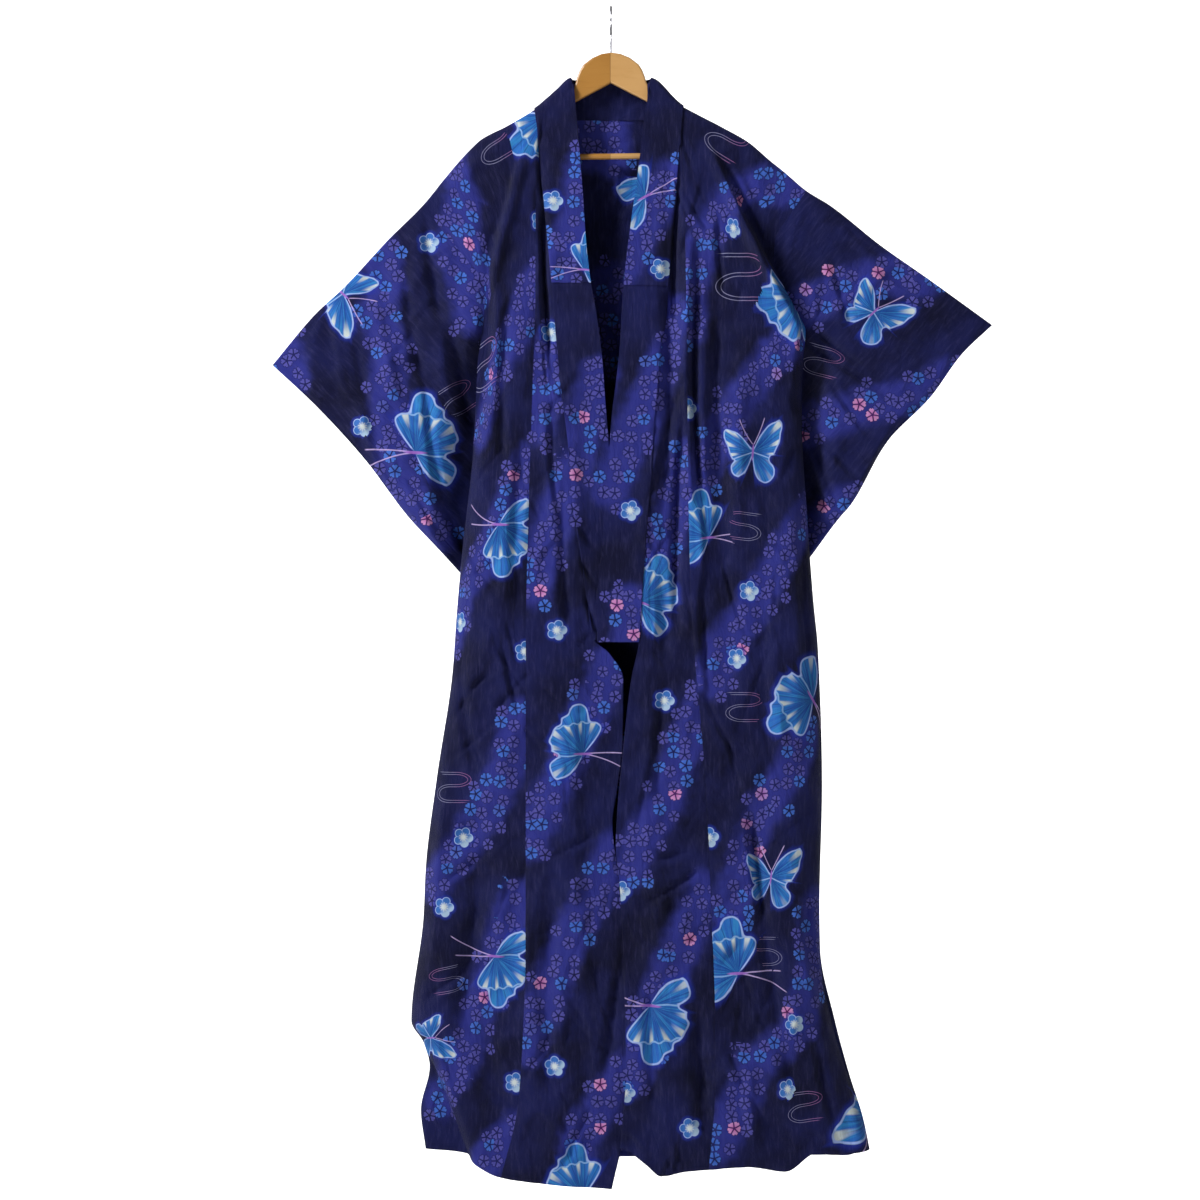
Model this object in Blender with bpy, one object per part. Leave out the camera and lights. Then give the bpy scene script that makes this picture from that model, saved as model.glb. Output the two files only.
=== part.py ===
"""Unlined cotton kimono robe (yukata) hanging open at the front on a wooden hanger.

The origin is the place inside the top of the hook where a rail bears.  +Z is up and the
robe's front faces -Y.  Left and right are the wearer's: the wearer's left front lies over
the right one and is at +X.  Every table is in millimetres.  "drop" is the distance below
the hook's bearing point and "out" is the distance from the robe's middle towards the side.

The cloth is one pair of height fields, front and back, on either side of the hanger's
plane.  Each cut piece is a wall that follows a field between its own seams, so pieces that
are sewn together share their depth at the seam and stay one seam gap apart.
"""

import math

import bmesh
import bpy
import numpy as np

MM = 0.001
CLOTH = 1.5            # wall of one thickness of cotton with its seam turnings
COLLAR_CLOTH = 3.0     # the collar is folded cloth over its core
COVER_CLOTH = 1.0      # the over-collar's single layer
SEAM_GAP = 0.3
WOOD_THICK = 12.0
FOLD_OVER_WOOD = 8.0   # radius of the cloth's fold where it lies over the wood
FOLD_FREE = 4.0        # radius of the fold past the hanger and along the sleeves
WOOD_END = 206.0       # out: from here the fold grows narrower
WOOD_END_FADE = 24.0   # over this distance
CROWN_CLEAR = 9.3      # the collar's distance from the hanger's plane beside the crown
CROWN_SIDE = 59.0      # out: where the collar has passed the crown
CROWN_FADE = 4.0
SETTLE = 60.0          # drop below the shoulder where the folds have their full depth
SIDE_TURN = 8.0        # width of the cloth's turn at the side seam
BACK_ROLL = 34.0       # width of the back's bend towards its sides
SEAM_AT_NECK = {"right": 112.0, "left": 106.0}
ARMHOLE_END = 475.0    # drop where the sleeve seam ends
SIDE_SEAM_TOP = 596.0  # drop where the open side below the armhole ends
CUFF_OPEN = 0.47       # share of the sleeve's depth that is open at the cuff
CLOSED_END = 0.03      # share of the sleeve over which its layers close at an edge
SIDES = {"right": -1.0, "left": 1.0}

# The right front lies behind the left one: how far, and where that starts and fades in.
UNDERLAP = {"deep": 8.0, "x": -62.0, "x_fade": 30.0, "drop": 470.0, "drop_fade": 120.0}
# The collar stands off the hanger behind the neck.
NECK_BOW = {"high": 8.0, "out_fade": 105.0, "drop": 170.0, "drop_fade": 220.0, "top_fade": 12.0}
# The sleeves' lower inner corners lie behind the back.
SLEEVE_TUCK = {"deep": 42.0, "drop": 478.0, "drop_fade": 90.0, "past_side": 60.0, "fade": 70.0}
# The air between a sleeve's layers and the slack of its lower edge.
SLEEVE_PUFF = {"high": 7.0, "top_fade": 0.25}
SLEEVE_SLACK = {"high": 3.0, "waves": 15.0}

# The shoulder line and the sleeve's top fold, from the neck out to the cuff.
SHOULDER = {
    "right": {
        "out": (0, 59, 78, 96, 112, 152, 192, 202, 223, 249, 274, 327, 395, 435, 499),
        "drop": (100, 105, 121, 138, 150, 174, 195, 204, 226, 257, 288, 341, 414, 451, 527),
    },
    "left": {
        "out": (0, 59, 99, 106, 117, 165, 202, 235, 255, 288, 322, 398, 465, 562),
        "drop": (100, 105, 141, 146, 152, 177, 198, 226, 242, 270, 291, 351, 398, 468),
    },
}

# The body's side: down the sleeve seam, the open side and the side seam to the hem.
SIDE_EDGE = {
    "right": {
        "drop": (288, 322, 354, 386, 401, 431, 475, 530, 606, 667, 792, 892, 976, 1139,
                 1271, 1338, 1494, 1525, 1561, 1625, 1682),
        "out": (274, 254, 227, 201, 188, 186, 190, 197, 200, 204, 218, 227, 233, 257,
                273, 276, 294, 276, 267, 280, 273),
    },
    "left": {
        "drop": (270, 305, 342, 375, 401, 457, 476, 513, 602, 751, 873, 947, 1146,
                 1326, 1386, 1494, 1572, 1639, 1682),
        "out": (288, 264, 242, 240, 250, 279, 287, 284, 281, 289, 298, 305, 311,
                307, 308, 330, 351, 372, 381),
    },
}

# The fold at the outer side of each front, from the shoulder down.  Outside it the cloth
# lies back: the wing at the shoulder, the strip at the open side and, at the right front's
# hem, the turned side.
FRONT_FOLD = {
    "right": {
        "drop": (165, 209, 249, 291, 330, 363, 401, 431, 530, 569, 606, 667, 720, 1494,
                 1561, 1692),
        "out": (124, 139, 150, 159, 171, 178, 184, 181, 181, 187, 194, 203, 211, 294,
                259, 208),
        "roll": (10, 10, 9, 9, 9, 9, 10, 12, 14, 16, 20, 28, 36, 34, 16, 12),
    },
    "left": {
        "drop": (174, 220, 261, 311, 338, 375, 423, 476, 513, 602, 751, 1055, 1386, 1682),
        "out": (136, 161, 181, 202, 217, 236, 260, 286, 284, 281, 289, 308, 308, 381),
        "roll": (10, 10, 10, 9, 9, 9, 10, 12, 14, 22, 34, 42, 40, 34),
    },
}

# The seam between front and collar, and below it between front and okumi.
FRONT_SEAM = {
    "right": {
        "drop": (150, 190, 240, 283, 416, 519, 740, 932, 1389, 1463, 1611, 1719),
        "out": (112, 108, 106, 111, 111, 114, 121, 125, 125, 127, 136, 161),
    },
    "left": {
        "drop": (146, 195, 283, 578, 740, 873, 934, 1080, 1205, 1356, 1476, 1596, 1707),
        "out": (106, 103, 108, 112, 114, 117, 121, 134, 142, 148, 152, 152, 143),
    },
}

# The collar's seam, and below its end the okumi's free front edge.
COLLAR_SEAM = {
    "right": {
        "drop": (150, 190, 240, 327, 404, 482, 555, 646, 740, 817, 878, 932, 965, 1020,
                 1200, 1260, 1356, 1476, 1566, 1650, 1736),
        "out": (112, 108, 102, 93, 87, 81, 74, 63, 55, 43, 35, 25, 12, 2,
                -2, -8, -22, -31, -30, -20, -1),
    },
    "left": {
        "drop": (146, 195, 233, 304, 369, 454, 510, 562, 618, 696, 768, 844, 935, 988,
                 1080, 1187, 1236, 1295, 1416, 1566, 1645, 1676),
        "out": (106, 102, 99, 91, 86, 81, 72, 68, 63, 59, 52, 47, 41, 30,
                19, 9, 7, 13, 19, 22, 16, 13),
    },
}
COLLAR_END = {"right": 932.0, "left": 935.0}
OKUMI_TIP_ROW = {"right": 5, "left": 4}   # the body's row where the okumi's tip starts
COLLAR_END_ROW = 16
COVER_END_ROW = 9

# The collar's free edge, next to the wearer's throat.
COLLAR_EDGE = {
    "right": {
        "drop": (105, 111, 125, 180, 283, 341, 403, 454, 519, 599, 633, 740, 817, 878, 932),
        "out": (59, 56, 54, 49, 41, 37, 30, 21, 13, 7, 4, -7, -18, -27, -37),
    },
    "left": {
        "drop": (105, 111, 139, 180, 232, 313, 384, 440, 496, 555, 603, 674, 726, 794, 875, 935),
        "out": (59, 56, 53, 47, 41, 30, 21, 16, 13, 7, 1, -4, -9, -13, -21, -20),
    },
}

# Behind the neck: the seam and the free edge from the middle out to the shoulder line.
NECK_SEAM = {"share": (0.0, 0.54, 0.8), "drop": (164, 164, 160)}
NECK_EDGE = {"share": (0.0, 0.55, 0.85, 1.0), "drop": (107, 107, 106, 105)}
NECK_COLUMNS = (0.0, 0.35, 0.7, 0.9, 0.975)

# The hem of the front and of the back, from the middle out.
FRONT_HEM = {
    "right": {
        "out": (-1, 59, 112, 161, 201, 212, 273),
        "drop": (1736, 1732, 1726, 1719, 1699, 1689, 1682),
    },
    "left": {
        "out": (13, 27, 50, 74, 105, 143, 201, 255, 302, 330, 381),
        "drop": (1676, 1682, 1699, 1717, 1711, 1707, 1704, 1711, 1684, 1687, 1682),
    },
}
BACK_HEM = {
    "right": {"out": (0, 150, 273), "drop": (1700, 1700, 1682)},
    "left": {"out": (0, 250, 330, 350, 381), "drop": (1700, 1694, 1697, 1697, 1682)},
}

# How far each field stands from the hanger's plane, past the fold over the wood.
FULLNESS = {
    "drop": (150, 250, 400, 600, 900, 1300, 1740),
    "front": (0, 7, 16, 22, 28, 36, 44),
    "back": (0, 6, 12, 17, 24, 31, 38),
}

# The largest folds of the fronts, as soft troughs (minus) and ridges (plus): two ends
# on the cloth, half width and height.
FRONT_FOLDS = (
    {"x1": -106, "drop1": 190, "x2": -94, "drop2": 520, "wide": 9, "high": -7},
    {"x1": -140, "drop1": 420, "x2": -172, "drop2": 1150, "wide": 24, "high": 5},
    {"x1": -60, "drop1": 1020, "x2": -92, "drop2": 1690, "wide": 30, "high": 6},
    {"x1": -205, "drop1": 1180, "x2": -170, "drop2": 1660, "wide": 22, "high": -8},
    {"x1": 90, "drop1": 230, "x2": 80, "drop2": 960, "wide": 12, "high": -11},
    {"x1": 118, "drop1": 300, "x2": 124, "drop2": 900, "wide": 16, "high": 4},
    {"x1": 150, "drop1": 560, "x2": 176, "drop2": 1000, "wide": 16, "high": -5},
    {"x1": 204, "drop1": 1180, "x2": 226, "drop2": 1400, "wide": 14, "high": -8},
    {"x1": 250, "drop1": 620, "x2": 262, "drop2": 1650, "wide": 24, "high": 6},
    {"x1": 60, "drop1": 1180, "x2": 82, "drop2": 1690, "wide": 26, "high": 7},
    {"x1": 330, "drop1": 1450, "x2": 352, "drop2": 1690, "wide": 16, "high": -8},
)
BACK_FOLDS = (
    {"x1": -170, "drop1": 1000, "x2": -190, "drop2": 1690, "wide": 30, "high": 8},
    {"x1": -80, "drop1": 520, "x2": -100, "drop2": 1690, "wide": 26, "high": -8},
    {"x1": 0, "drop1": 300, "x2": -14, "drop2": 1690, "wide": 30, "high": 6},
    {"x1": 70, "drop1": 480, "x2": 96, "drop2": 1690, "wide": 26, "high": -8},
    {"x1": 170, "drop1": 1000, "x2": 190, "drop2": 1690, "wide": 30, "high": 8},
    {"x1": 225, "drop1": 900, "x2": 285, "drop2": 1690, "wide": 24, "high": -7},
)

# The sleeve: its inner edge below the armhole, hidden behind the body, and the cuff.
SLEEVE_FREE_EDGE = {
    "right": {"out": (190, 199, 202, 196, 178, 150), "drop": (475, 500, 532, 572, 625, 690)},
    "left": {"out": (287, 292, 292, 286, 266, 232), "drop": (476, 500, 530, 566, 625, 690)},
}
CUFF = {
    "right": {
        "out": (499, 435, 361, 298, 258, 223, 175),
        "drop": (527, 587, 668, 751, 794, 833, 888),
    },
    "left": {
        "out": (562, 518, 471, 407, 353, 335, 294, 262),
        "drop": (468, 510, 574, 640, 733, 754, 811, 850),
    },
}
SLEEVE_FOLDS = (
    {"x1": -430, "drop1": 520, "x2": -250, "drop2": 760, "wide": 30, "high": 6},
    {"x1": -330, "drop1": 440, "x2": -235, "drop2": 600, "wide": 18, "high": -4},
    {"x1": 300, "drop1": 480, "x2": 400, "drop2": 570, "wide": 14, "high": -4},
    {"x1": 318, "drop1": 560, "x2": 320, "drop2": 760, "wide": 16, "high": 5},
)

# The hanger's outline, half of it, from the crown's top round the end of the arm.
HANGER_OUTLINE = {
    "out": (0, 14, 28, 41, 46, 50, 52.5, 59, 74, 92, 112, 152, 190, 201, 204, 202, 192, 180,
            174, 160, 120, 55, 0),
    "drop": (66, 68, 74, 84, 92, 102, 111, 121, 132, 146, 158, 180, 203, 211, 219, 227, 232,
             230, 223, 204, 177, 140, 111),
}
HANGER_TILT = math.radians(0.6)   # the robe hangs a little higher on its left
BAR_RADIUS = 4.5
BAR_DROP = 219.0
BAR_HALF = 184.0
WOOD_ROUNDING = 2.5
WIRE_RADIUS = 1.7
HOOK_RADIUS = 19.0                # to the wire's middle
HOOK_TURNS = {"start": -60.0, "end": 206.0, "step": 15.0}   # degrees round the hook's middle
HOOK_NECK = {"out": (0.0, 1.6, 5.0), "drop": (30.0, 24.0, 19.6)}   # below the hook's middle
SHANK_DEPTH = 26.0                # how far the shank is let into the crown

# Where the grids have their columns, as shares of a piece's width.
BODY_COLUMNS = (0.0, 0.1, 0.2, 0.32, 0.44, 0.56, 0.68, 0.79, 0.88, 0.95, 1.0)
STRIP_COLUMNS = (0.0, 0.34, 0.67, 1.0)
SLEEVE_COLUMNS = (0.0, 0.04, 0.12, 0.24, 0.38, 0.52, 0.66, 0.8, 0.92, 0.985, 1.0)
# Rows of the body, as shares of its length, close together over the shoulder.
SHOULDER_ROWS = (0.0, 0.002, 0.006, 0.016, 0.034, 0.057, 0.081, 0.105, 0.133)
LOWER_ROWS = {"start": 0.168, "count": 18}
SLEEVE_LOWER_ROWS = (0.56, 0.65, 0.74, 0.83, 0.91, 0.965, 0.985, 1.0)

MATERIALS = {
    "cotton": {"colour": (0.018, 0.016, 0.095, 1.0), "rough": 0.85, "metal": 0.0},
    "collar_cotton": {"colour": (0.014, 0.013, 0.075, 1.0), "rough": 0.85, "metal": 0.0},
    "honey_wood": {"colour": (0.55, 0.30, 0.11, 1.0), "rough": 0.35, "metal": 0.0},
    "steel": {"colour": (0.62, 0.62, 0.64, 1.0), "rough": 0.25, "metal": 1.0},
}


def eased(share):
    """Zero to one with level ends."""
    share = min(max(share, 0.0), 1.0)
    return share * share * (3.0 - 2.0 * share)


def quarter(share):
    """Zero to one along a quarter circle."""
    share = min(max(share, 0.0), 1.0)
    return math.sqrt(1.0 - (1.0 - share) ** 2)


def read(table, at, column="out", by="drop"):
    """A column of a table at a place between its rows."""
    return float(np.interp(at, table[by], table[column]))


def side_of(x):
    return "left" if x >= 0.0 else "right"


def crest(x):
    """Drop of the shoulder line, or of the sleeve's top fold, at x."""
    return read(SHOULDER[side_of(x)], abs(x), "drop", "out")


def over_fold(x, drop):
    """Distance from the hanger's plane where the cloth only turns over its top fold."""
    past_wood = eased((abs(x) - WOOD_END) / WOOD_END_FADE)
    radius = FOLD_OVER_WOOD + (FOLD_FREE - FOLD_OVER_WOOD) * past_wood
    return radius * quarter((drop - crest(x)) / radius)


def soft_folds(folds, x, drop):
    """Sum of the troughs and ridges that pass near a place."""
    total = 0.0
    for fold in folds:
        along = (drop - fold["drop1"]) / (fold["drop2"] - fold["drop1"])
        if -0.15 < along < 1.15:
            middle = fold["x1"] + (fold["x2"] - fold["x1"]) * along
            fade = eased((along + 0.15) / 0.35) * eased((1.15 - along) / 0.3)
            total += fold["high"] * fade * math.exp(-((x - middle) / fold["wide"]) ** 2)
    return total


def closed_side(drop):
    """One where front and back are sewn together at the side."""
    return 1.0 if drop >= SIDE_SEAM_TOP else 0.0


def neck_seam_drop(side, out):
    """The seam behind the neck, from the middle out to the shoulder line."""
    neck = SEAM_AT_NECK[side] + SEAM_GAP / 2
    shares = NECK_SEAM["share"] + (1.0,)
    drops = NECK_SEAM["drop"] + (crest(neck * SIDES[side]),)
    return float(np.interp(out / neck, shares, drops))


def round_crown(x):
    """The collar passes in front of the crown and behind it."""
    return CROWN_CLEAR * eased((CROWN_SIDE - abs(x)) / CROWN_FADE)


def settled(x, drop):
    """Zero on the shoulder fold and one where the cloth has left it."""
    return eased((drop - crest(x)) / SETTLE)


def neck_bow(x, drop):
    """The collar stands off the hanger behind the neck."""
    bow = NECK_BOW["high"] * (1.0 - eased(abs(x) / NECK_BOW["out_fade"]))
    bow *= 1.0 - eased((drop - NECK_BOW["drop"]) / NECK_BOW["drop_fade"])
    return bow * eased((drop - crest(x)) / NECK_BOW["top_fade"])


def front_depth(side, x, drop):
    """Distance of the front cloth from the hanger's plane."""
    out = x * SIDES[side]
    fold = FRONT_FOLD[side]
    roll = read(fold, drop, "roll")
    edge = read(SIDE_EDGE[side], drop) - out
    inside = min(read(fold, drop) - out, edge)
    lift = read(FULLNESS, drop, "front") + soft_folds(FRONT_FOLDS, x, drop)
    lift *= settled(x, drop)
    base = max(over_fold(x, drop), round_crown(x))
    if closed_side(drop) and out > 0.0:
        turned = min(base, FOLD_FREE) * quarter(edge / SIDE_TURN)
        full = base + lift
        depth = turned + (full - turned) * quarter(inside / roll)
    else:
        depth = base + lift * eased(inside / roll)
    if side == "right":
        across = eased((x - UNDERLAP["x"]) / UNDERLAP["x_fade"])
        down = eased((drop - UNDERLAP["drop"]) / UNDERLAP["drop_fade"])
        depth -= UNDERLAP["deep"] * across * down
    return depth


def back_depth(side, x, drop):
    """Distance of the back cloth from the hanger's plane."""
    edge = read(SIDE_EDGE[side], drop) - x * SIDES[side]
    lift = read(FULLNESS, drop, "back") + soft_folds(BACK_FOLDS, x, drop)
    lift = lift * settled(x, drop) + neck_bow(x, drop)
    base = max(over_fold(x, drop), round_crown(x))
    if closed_side(drop):
        return (base + lift) * quarter(edge / BACK_ROLL)
    return base + lift * eased(edge / BACK_ROLL)


def front_place(side, x, drop):
    return (x, -front_depth(side, x, drop), -drop)


def back_place(side, x, drop):
    return (x, back_depth(side, x, drop), -drop)


def field_normal(place, side, x, drop, front):
    """A place on a height field and its outward normal there."""
    step = 0.5
    here = np.array(place(side, x, drop))
    across = np.array(place(side, x + step, drop)) - np.array(place(side, x - step, drop))
    down = np.array(place(side, x, drop + step)) - np.array(place(side, x, drop - step))
    normal = np.cross(across, down)
    normal /= np.linalg.norm(normal)
    if (normal[1] > 0.0) == front:
        normal = -normal
    return here, normal


def crest_normal(x):
    """Upward normal of the shoulder line."""
    slope = (crest(x + 1.0) - crest(x - 1.0)) / 2.0
    if abs(x) < 1.0:
        slope = 0.0
    return np.array((slope, 0.0, 1.0)) / math.hypot(slope, 1.0)


def material(name):
    made = bpy.data.materials.get(name)
    if made is None:
        look = MATERIALS[name]
        made = bpy.data.materials.new(name)
        made.use_nodes = True
        shader = made.node_tree.nodes["Principled BSDF"]
        shader.inputs["Base Color"].default_value = look["colour"]
        shader.inputs["Roughness"].default_value = look["rough"]
        shader.inputs["Metallic"].default_value = look["metal"]
    return made


def cloth_wall(name, sheets, thickness, finish, collection):
    """A closed wall round one or more grids of (place, normal) that share their edges.

    Places are in millimetres.  Grids meet where their places coincide, such as along a
    shoulder fold or a side seam, and the wall is open everywhere else.
    """
    index = {}
    places = []
    normals = []
    faces = []
    for sheet, flip in sheets:
        rows = []
        for row in sheet:
            numbers = []
            for place, normal in row:
                key = tuple(round(float(value), 3) for value in place)
                if key not in index:
                    index[key] = len(places)
                    places.append(np.array(place, dtype=float))
                    normals.append(np.zeros(3))
                normals[index[key]] += normal
                numbers.append(index[key])
            rows.append(numbers)
        for upper, lower in zip(rows, rows[1:]):
            for k in range(len(upper) - 1):
                corners = (upper[k], lower[k], lower[k + 1], upper[k + 1])
                ring = []
                for corner in corners:
                    if corner not in ring:
                        ring.append(corner)
                if len(ring) > 2:
                    faces.append(tuple(reversed(ring)) if flip else tuple(ring))
    count = len(places)
    unit = [normal / np.linalg.norm(normal) for normal in normals]
    outer = [(place + half * thickness / 2) * MM for place, half in zip(places, unit)]
    inner = [(place - half * thickness / 2) * MM for place, half in zip(places, unit)]
    uses = {}
    for face in faces:
        for a, b in zip(face, face[1:] + face[:1]):
            uses.setdefault(frozenset((a, b)), []).append((a, b))
    walls = list(faces)
    walls += [tuple(count + corner for corner in reversed(face)) for face in faces]
    for ways in uses.values():
        if len(ways) == 1:
            a, b = ways[0]
            walls.append((b, a, count + a, count + b))
    mesh = bpy.data.meshes.new(name)
    mesh.from_pydata([tuple(point) for point in outer + inner], [], walls)
    mesh.validate()
    tidy = bmesh.new()
    tidy.from_mesh(mesh)
    bmesh.ops.recalc_face_normals(tidy, faces=tidy.faces)
    bmesh.ops.triangulate(tidy, faces=tidy.faces)
    tidy.to_mesh(mesh)
    tidy.free()
    mesh.shade_smooth()
    mesh.set_sharp_from_angle(angle=math.radians(50.0))
    mesh.materials.append(material(finish))
    made = bpy.data.objects.new(name, mesh)
    collection.objects.link(made)
    return made


def body_levels():
    """Shares of the way from shoulder to hem."""
    return SHOULDER_ROWS + tuple(np.linspace(LOWER_ROWS["start"], 1.0, LOWER_ROWS["count"]))


def knot(table, level):
    """(out, drop) on an edge that runs from shoulder to hem, at one of the body's rows."""
    drop = table["drop"][0] + level * (table["drop"][-1] - table["drop"][0])
    return read(table, drop), drop


def side_knot(side, level):
    """The body's side at a row, half a seam gap inside the sleeve seam."""
    out, drop = knot(SIDE_EDGE[side], level)
    if drop <= ARMHOLE_END:
        out -= SEAM_GAP / 2
    return out, drop


def body_front_sheet(side):
    """The front from the collar and okumi seam out to the side."""
    sign = SIDES[side]
    top_seam, top_side = FRONT_SEAM[side]["drop"][0], SIDE_EDGE[side]["drop"][0]
    hem_seam, hem_side = FRONT_SEAM[side]["drop"][-1], SIDE_EDGE[side]["drop"][-1]
    sheet = []
    for level in body_levels():
        inner, inner_drop = knot(FRONT_SEAM[side], level)
        inner += SEAM_GAP / 2
        outer, outer_drop = side_knot(side, level)
        row = []
        for share in BODY_COLUMNS:
            out = inner + (outer - inner) * share
            start = FRONT_SEAM[side]["out"][0] + share * (
                SIDE_EDGE[side]["out"][0] - FRONT_SEAM[side]["out"][0])
            finish = FRONT_SEAM[side]["out"][-1] + share * (
                SIDE_EDGE[side]["out"][-1] - FRONT_SEAM[side]["out"][-1])
            shoulder_bend = crest(start * sign) - (top_seam + (top_side - top_seam) * share)
            hem_bend = read(FRONT_HEM[side], finish, "drop", "out") - (
                hem_seam + (hem_side - hem_seam) * share)
            drop = inner_drop + (outer_drop - inner_drop) * share
            drop += shoulder_bend * (1.0 - level) + hem_bend * level
            if level == 0.0:
                drop = crest(out * sign)
            here, normal = field_normal(front_place, side, out * sign, drop, True)
            row.append((here, crest_normal(here[0]) if level == 0.0 else normal))
        sheet.append(row)
    return sheet


def body_back_sheet(side):
    """The back from the centre seam out, with the columns of the front past the neck."""
    sign = SIDES[side]
    neck = SEAM_AT_NECK[side] + SEAM_GAP / 2
    side_top = SIDE_EDGE[side]["out"][0]
    side_hem = SIDE_EDGE[side]["out"][-1]
    starts = [neck * share for share in NECK_COLUMNS]
    starts += [neck + (side_top - SEAM_GAP / 2 - neck) * share for share in BODY_COLUMNS]
    sheet = []
    for level in body_levels():
        outer, outer_drop = side_knot(side, level)
        row = []
        for start in starts:
            share = start / starts[-1]
            out = SEAM_GAP / 2 + (outer - SEAM_GAP / 2) * share
            if level == 0.0:
                out = max(start, SEAM_GAP / 2)
            if start < neck:
                top = neck_seam_drop(side, start) + SEAM_GAP
            else:
                top = crest(start * sign)
            hem = read(BACK_HEM[side], side_hem * share, "drop", "out")
            drop = top + (hem - top) * level
            if start == starts[-1]:
                drop = outer_drop
            if level == 0.0 and start >= neck:
                drop = crest(out * sign)
            here, normal = field_normal(back_place, side, out * sign, drop, False)
            on_crest = level == 0.0 and start >= neck
            row.append((here, crest_normal(here[0]) if on_crest else normal))
        sheet.append(row)
    return sheet


def make_body(side, collection):
    flip = side == "left"
    layers = ((body_front_sheet(side), flip), (body_back_sheet(side), not flip))
    return cloth_wall("body_" + side, layers, CLOTH, "cotton", collection)


def collar_knot(side, level):
    """(out, drop) on the collar's seam, and below it on the front edge, at a body row."""
    levels = body_levels()
    tip = levels[OKUMI_TIP_ROW[side]]
    if level <= tip:
        out, drop = knot(FRONT_SEAM[side], level)
        return (read(COLLAR_SEAM[side], drop) if level == tip else out), drop
    tip_drop = knot(FRONT_SEAM[side], tip)[1]
    ends = (tip_drop, COLLAR_END[side], COLLAR_SEAM[side]["drop"][-1])
    drop = float(np.interp(level, (tip, levels[COLLAR_END_ROW], 1.0), ends))
    return read(COLLAR_SEAM[side], drop), drop


def make_okumi(side, collection):
    """The overlap strip between the front's seam and the collar or the free front edge."""
    sign = SIDES[side]
    sheet = []
    for level in body_levels()[OKUMI_TIP_ROW[side]:]:
        outer, outer_drop = knot(FRONT_SEAM[side], level)
        inner, inner_drop = collar_knot(side, level)
        outer -= SEAM_GAP / 2
        inner += SEAM_GAP / 2
        row = []
        for share in STRIP_COLUMNS:
            out = inner + (outer - inner) * share
            drop = inner_drop + (outer_drop - inner_drop) * share
            if level == 1.0:
                drop = read(FRONT_HEM[side], out, "drop", "out")
            row.append(field_normal(front_place, side, out * sign, drop, True))
        sheet.append(row)
    return cloth_wall("okumi_" + side, ((sheet, side == "left"),), CLOTH, "cotton", collection)


def collar_stations(last_row):
    """Rows across the collar: (side, front or back, seam place, free edge place)."""
    levels = body_levels()[:last_row + 1]
    stations = []
    for side in ("right", "left"):
        top_edge = COLLAR_EDGE[side]["drop"][0]
        top_seam = COLLAR_SEAM[side]["drop"][0]
        leg = []
        for level in levels:
            seam_out, seam_drop = collar_knot(side, level)
            share = (seam_drop - top_seam) / (COLLAR_END[side] - top_seam)
            edge_drop = top_edge + (COLLAR_END[side] - top_edge) * share
            edge_out = read(COLLAR_EDGE[side], edge_drop)
            leg.append((side, True, (seam_out - SEAM_GAP / 2, seam_drop), (edge_out, edge_drop)))
        neck = []
        for share in NECK_COLUMNS[:0:-1]:
            seam_out = (SEAM_AT_NECK[side] + SEAM_GAP / 2) * share
            edge_out = COLLAR_EDGE[side]["out"][0] * share
            seam_drop = neck_seam_drop(side, seam_out)
            edge_drop = read(NECK_EDGE, share, "drop", "share")
            neck.append((side, False, (seam_out, seam_drop), (edge_out, edge_drop)))
        if side == "right":
            stations += leg[::-1] + neck
            middle = ((0.0, NECK_SEAM["drop"][0]), (0.0, NECK_EDGE["drop"][0]))
            stations.append((side, False) + middle)
        else:
            stations += neck[::-1] + leg
    return stations


def collar_sheet(last_row, raised):
    """The collar's grid, or the over-collar's, moved out from the collar's own points."""
    sheet = []
    for side, front, seam, edge in collar_stations(last_row):
        on_crest = seam[1] == COLLAR_SEAM[side]["drop"][0]
        place = front_place if front else back_place
        row = []
        for share in STRIP_COLUMNS:
            x = (seam[0] + (edge[0] - seam[0]) * share) * SIDES[side]
            drop = seam[1] + (edge[1] - seam[1]) * share
            if on_crest:
                drop = crest(x)
            here, normal = field_normal(place, side, x, drop, front)
            if on_crest:
                normal = crest_normal(x)
            row.append((here + normal * raised, normal))
        sheet.append(row)
    return sheet


def make_collar(collection):
    sheet = collar_sheet(COLLAR_END_ROW, 0.0)
    cloth_wall("collar", ((sheet, False),), COLLAR_CLOTH, "collar_cotton", collection)
    raised = COLLAR_CLOTH / 2 + SEAM_GAP + COVER_CLOTH / 2
    sheet = collar_sheet(COVER_END_ROW, raised)
    cloth_wall("over_collar", ((sheet, False),), COVER_CLOTH, "collar_cotton", collection)


def path_point(points, share):
    """A place along a chain of points, by its length."""
    points = np.array(points, dtype=float)
    lengths = np.concatenate(([0.0], np.cumsum(np.linalg.norm(np.diff(points, axis=0), axis=1))))
    at = share * lengths[-1]
    return np.array((np.interp(at, lengths, points[:, 0]), np.interp(at, lengths, points[:, 1])))


def sleeve_edges(side):
    """The sleeve's four edges as chains of (out, drop)."""
    shoulder = SHOULDER[side]
    body = SIDE_EDGE[side]
    start = body["out"][0] + SEAM_GAP / 2
    top = [(start, crest(start * SIDES[side]))]
    top += [(o, d) for o, d in zip(shoulder["out"], shoulder["drop"]) if o > start + 1.0]
    inner = [top[0]]
    for level in body_levels()[1:]:
        out, drop = knot(body, level)
        if drop <= ARMHOLE_END:
            inner.append((out + SEAM_GAP / 2, drop))
    free = SLEEVE_FREE_EDGE[side]
    inner += list(zip(free["out"], free["drop"]))
    cuff = list(zip(CUFF[side]["out"], CUFF[side]["drop"]))
    cuff[0] = top[-1]
    bottom = [inner[-1], cuff[-1]]
    return top, inner, cuff, bottom


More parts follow.
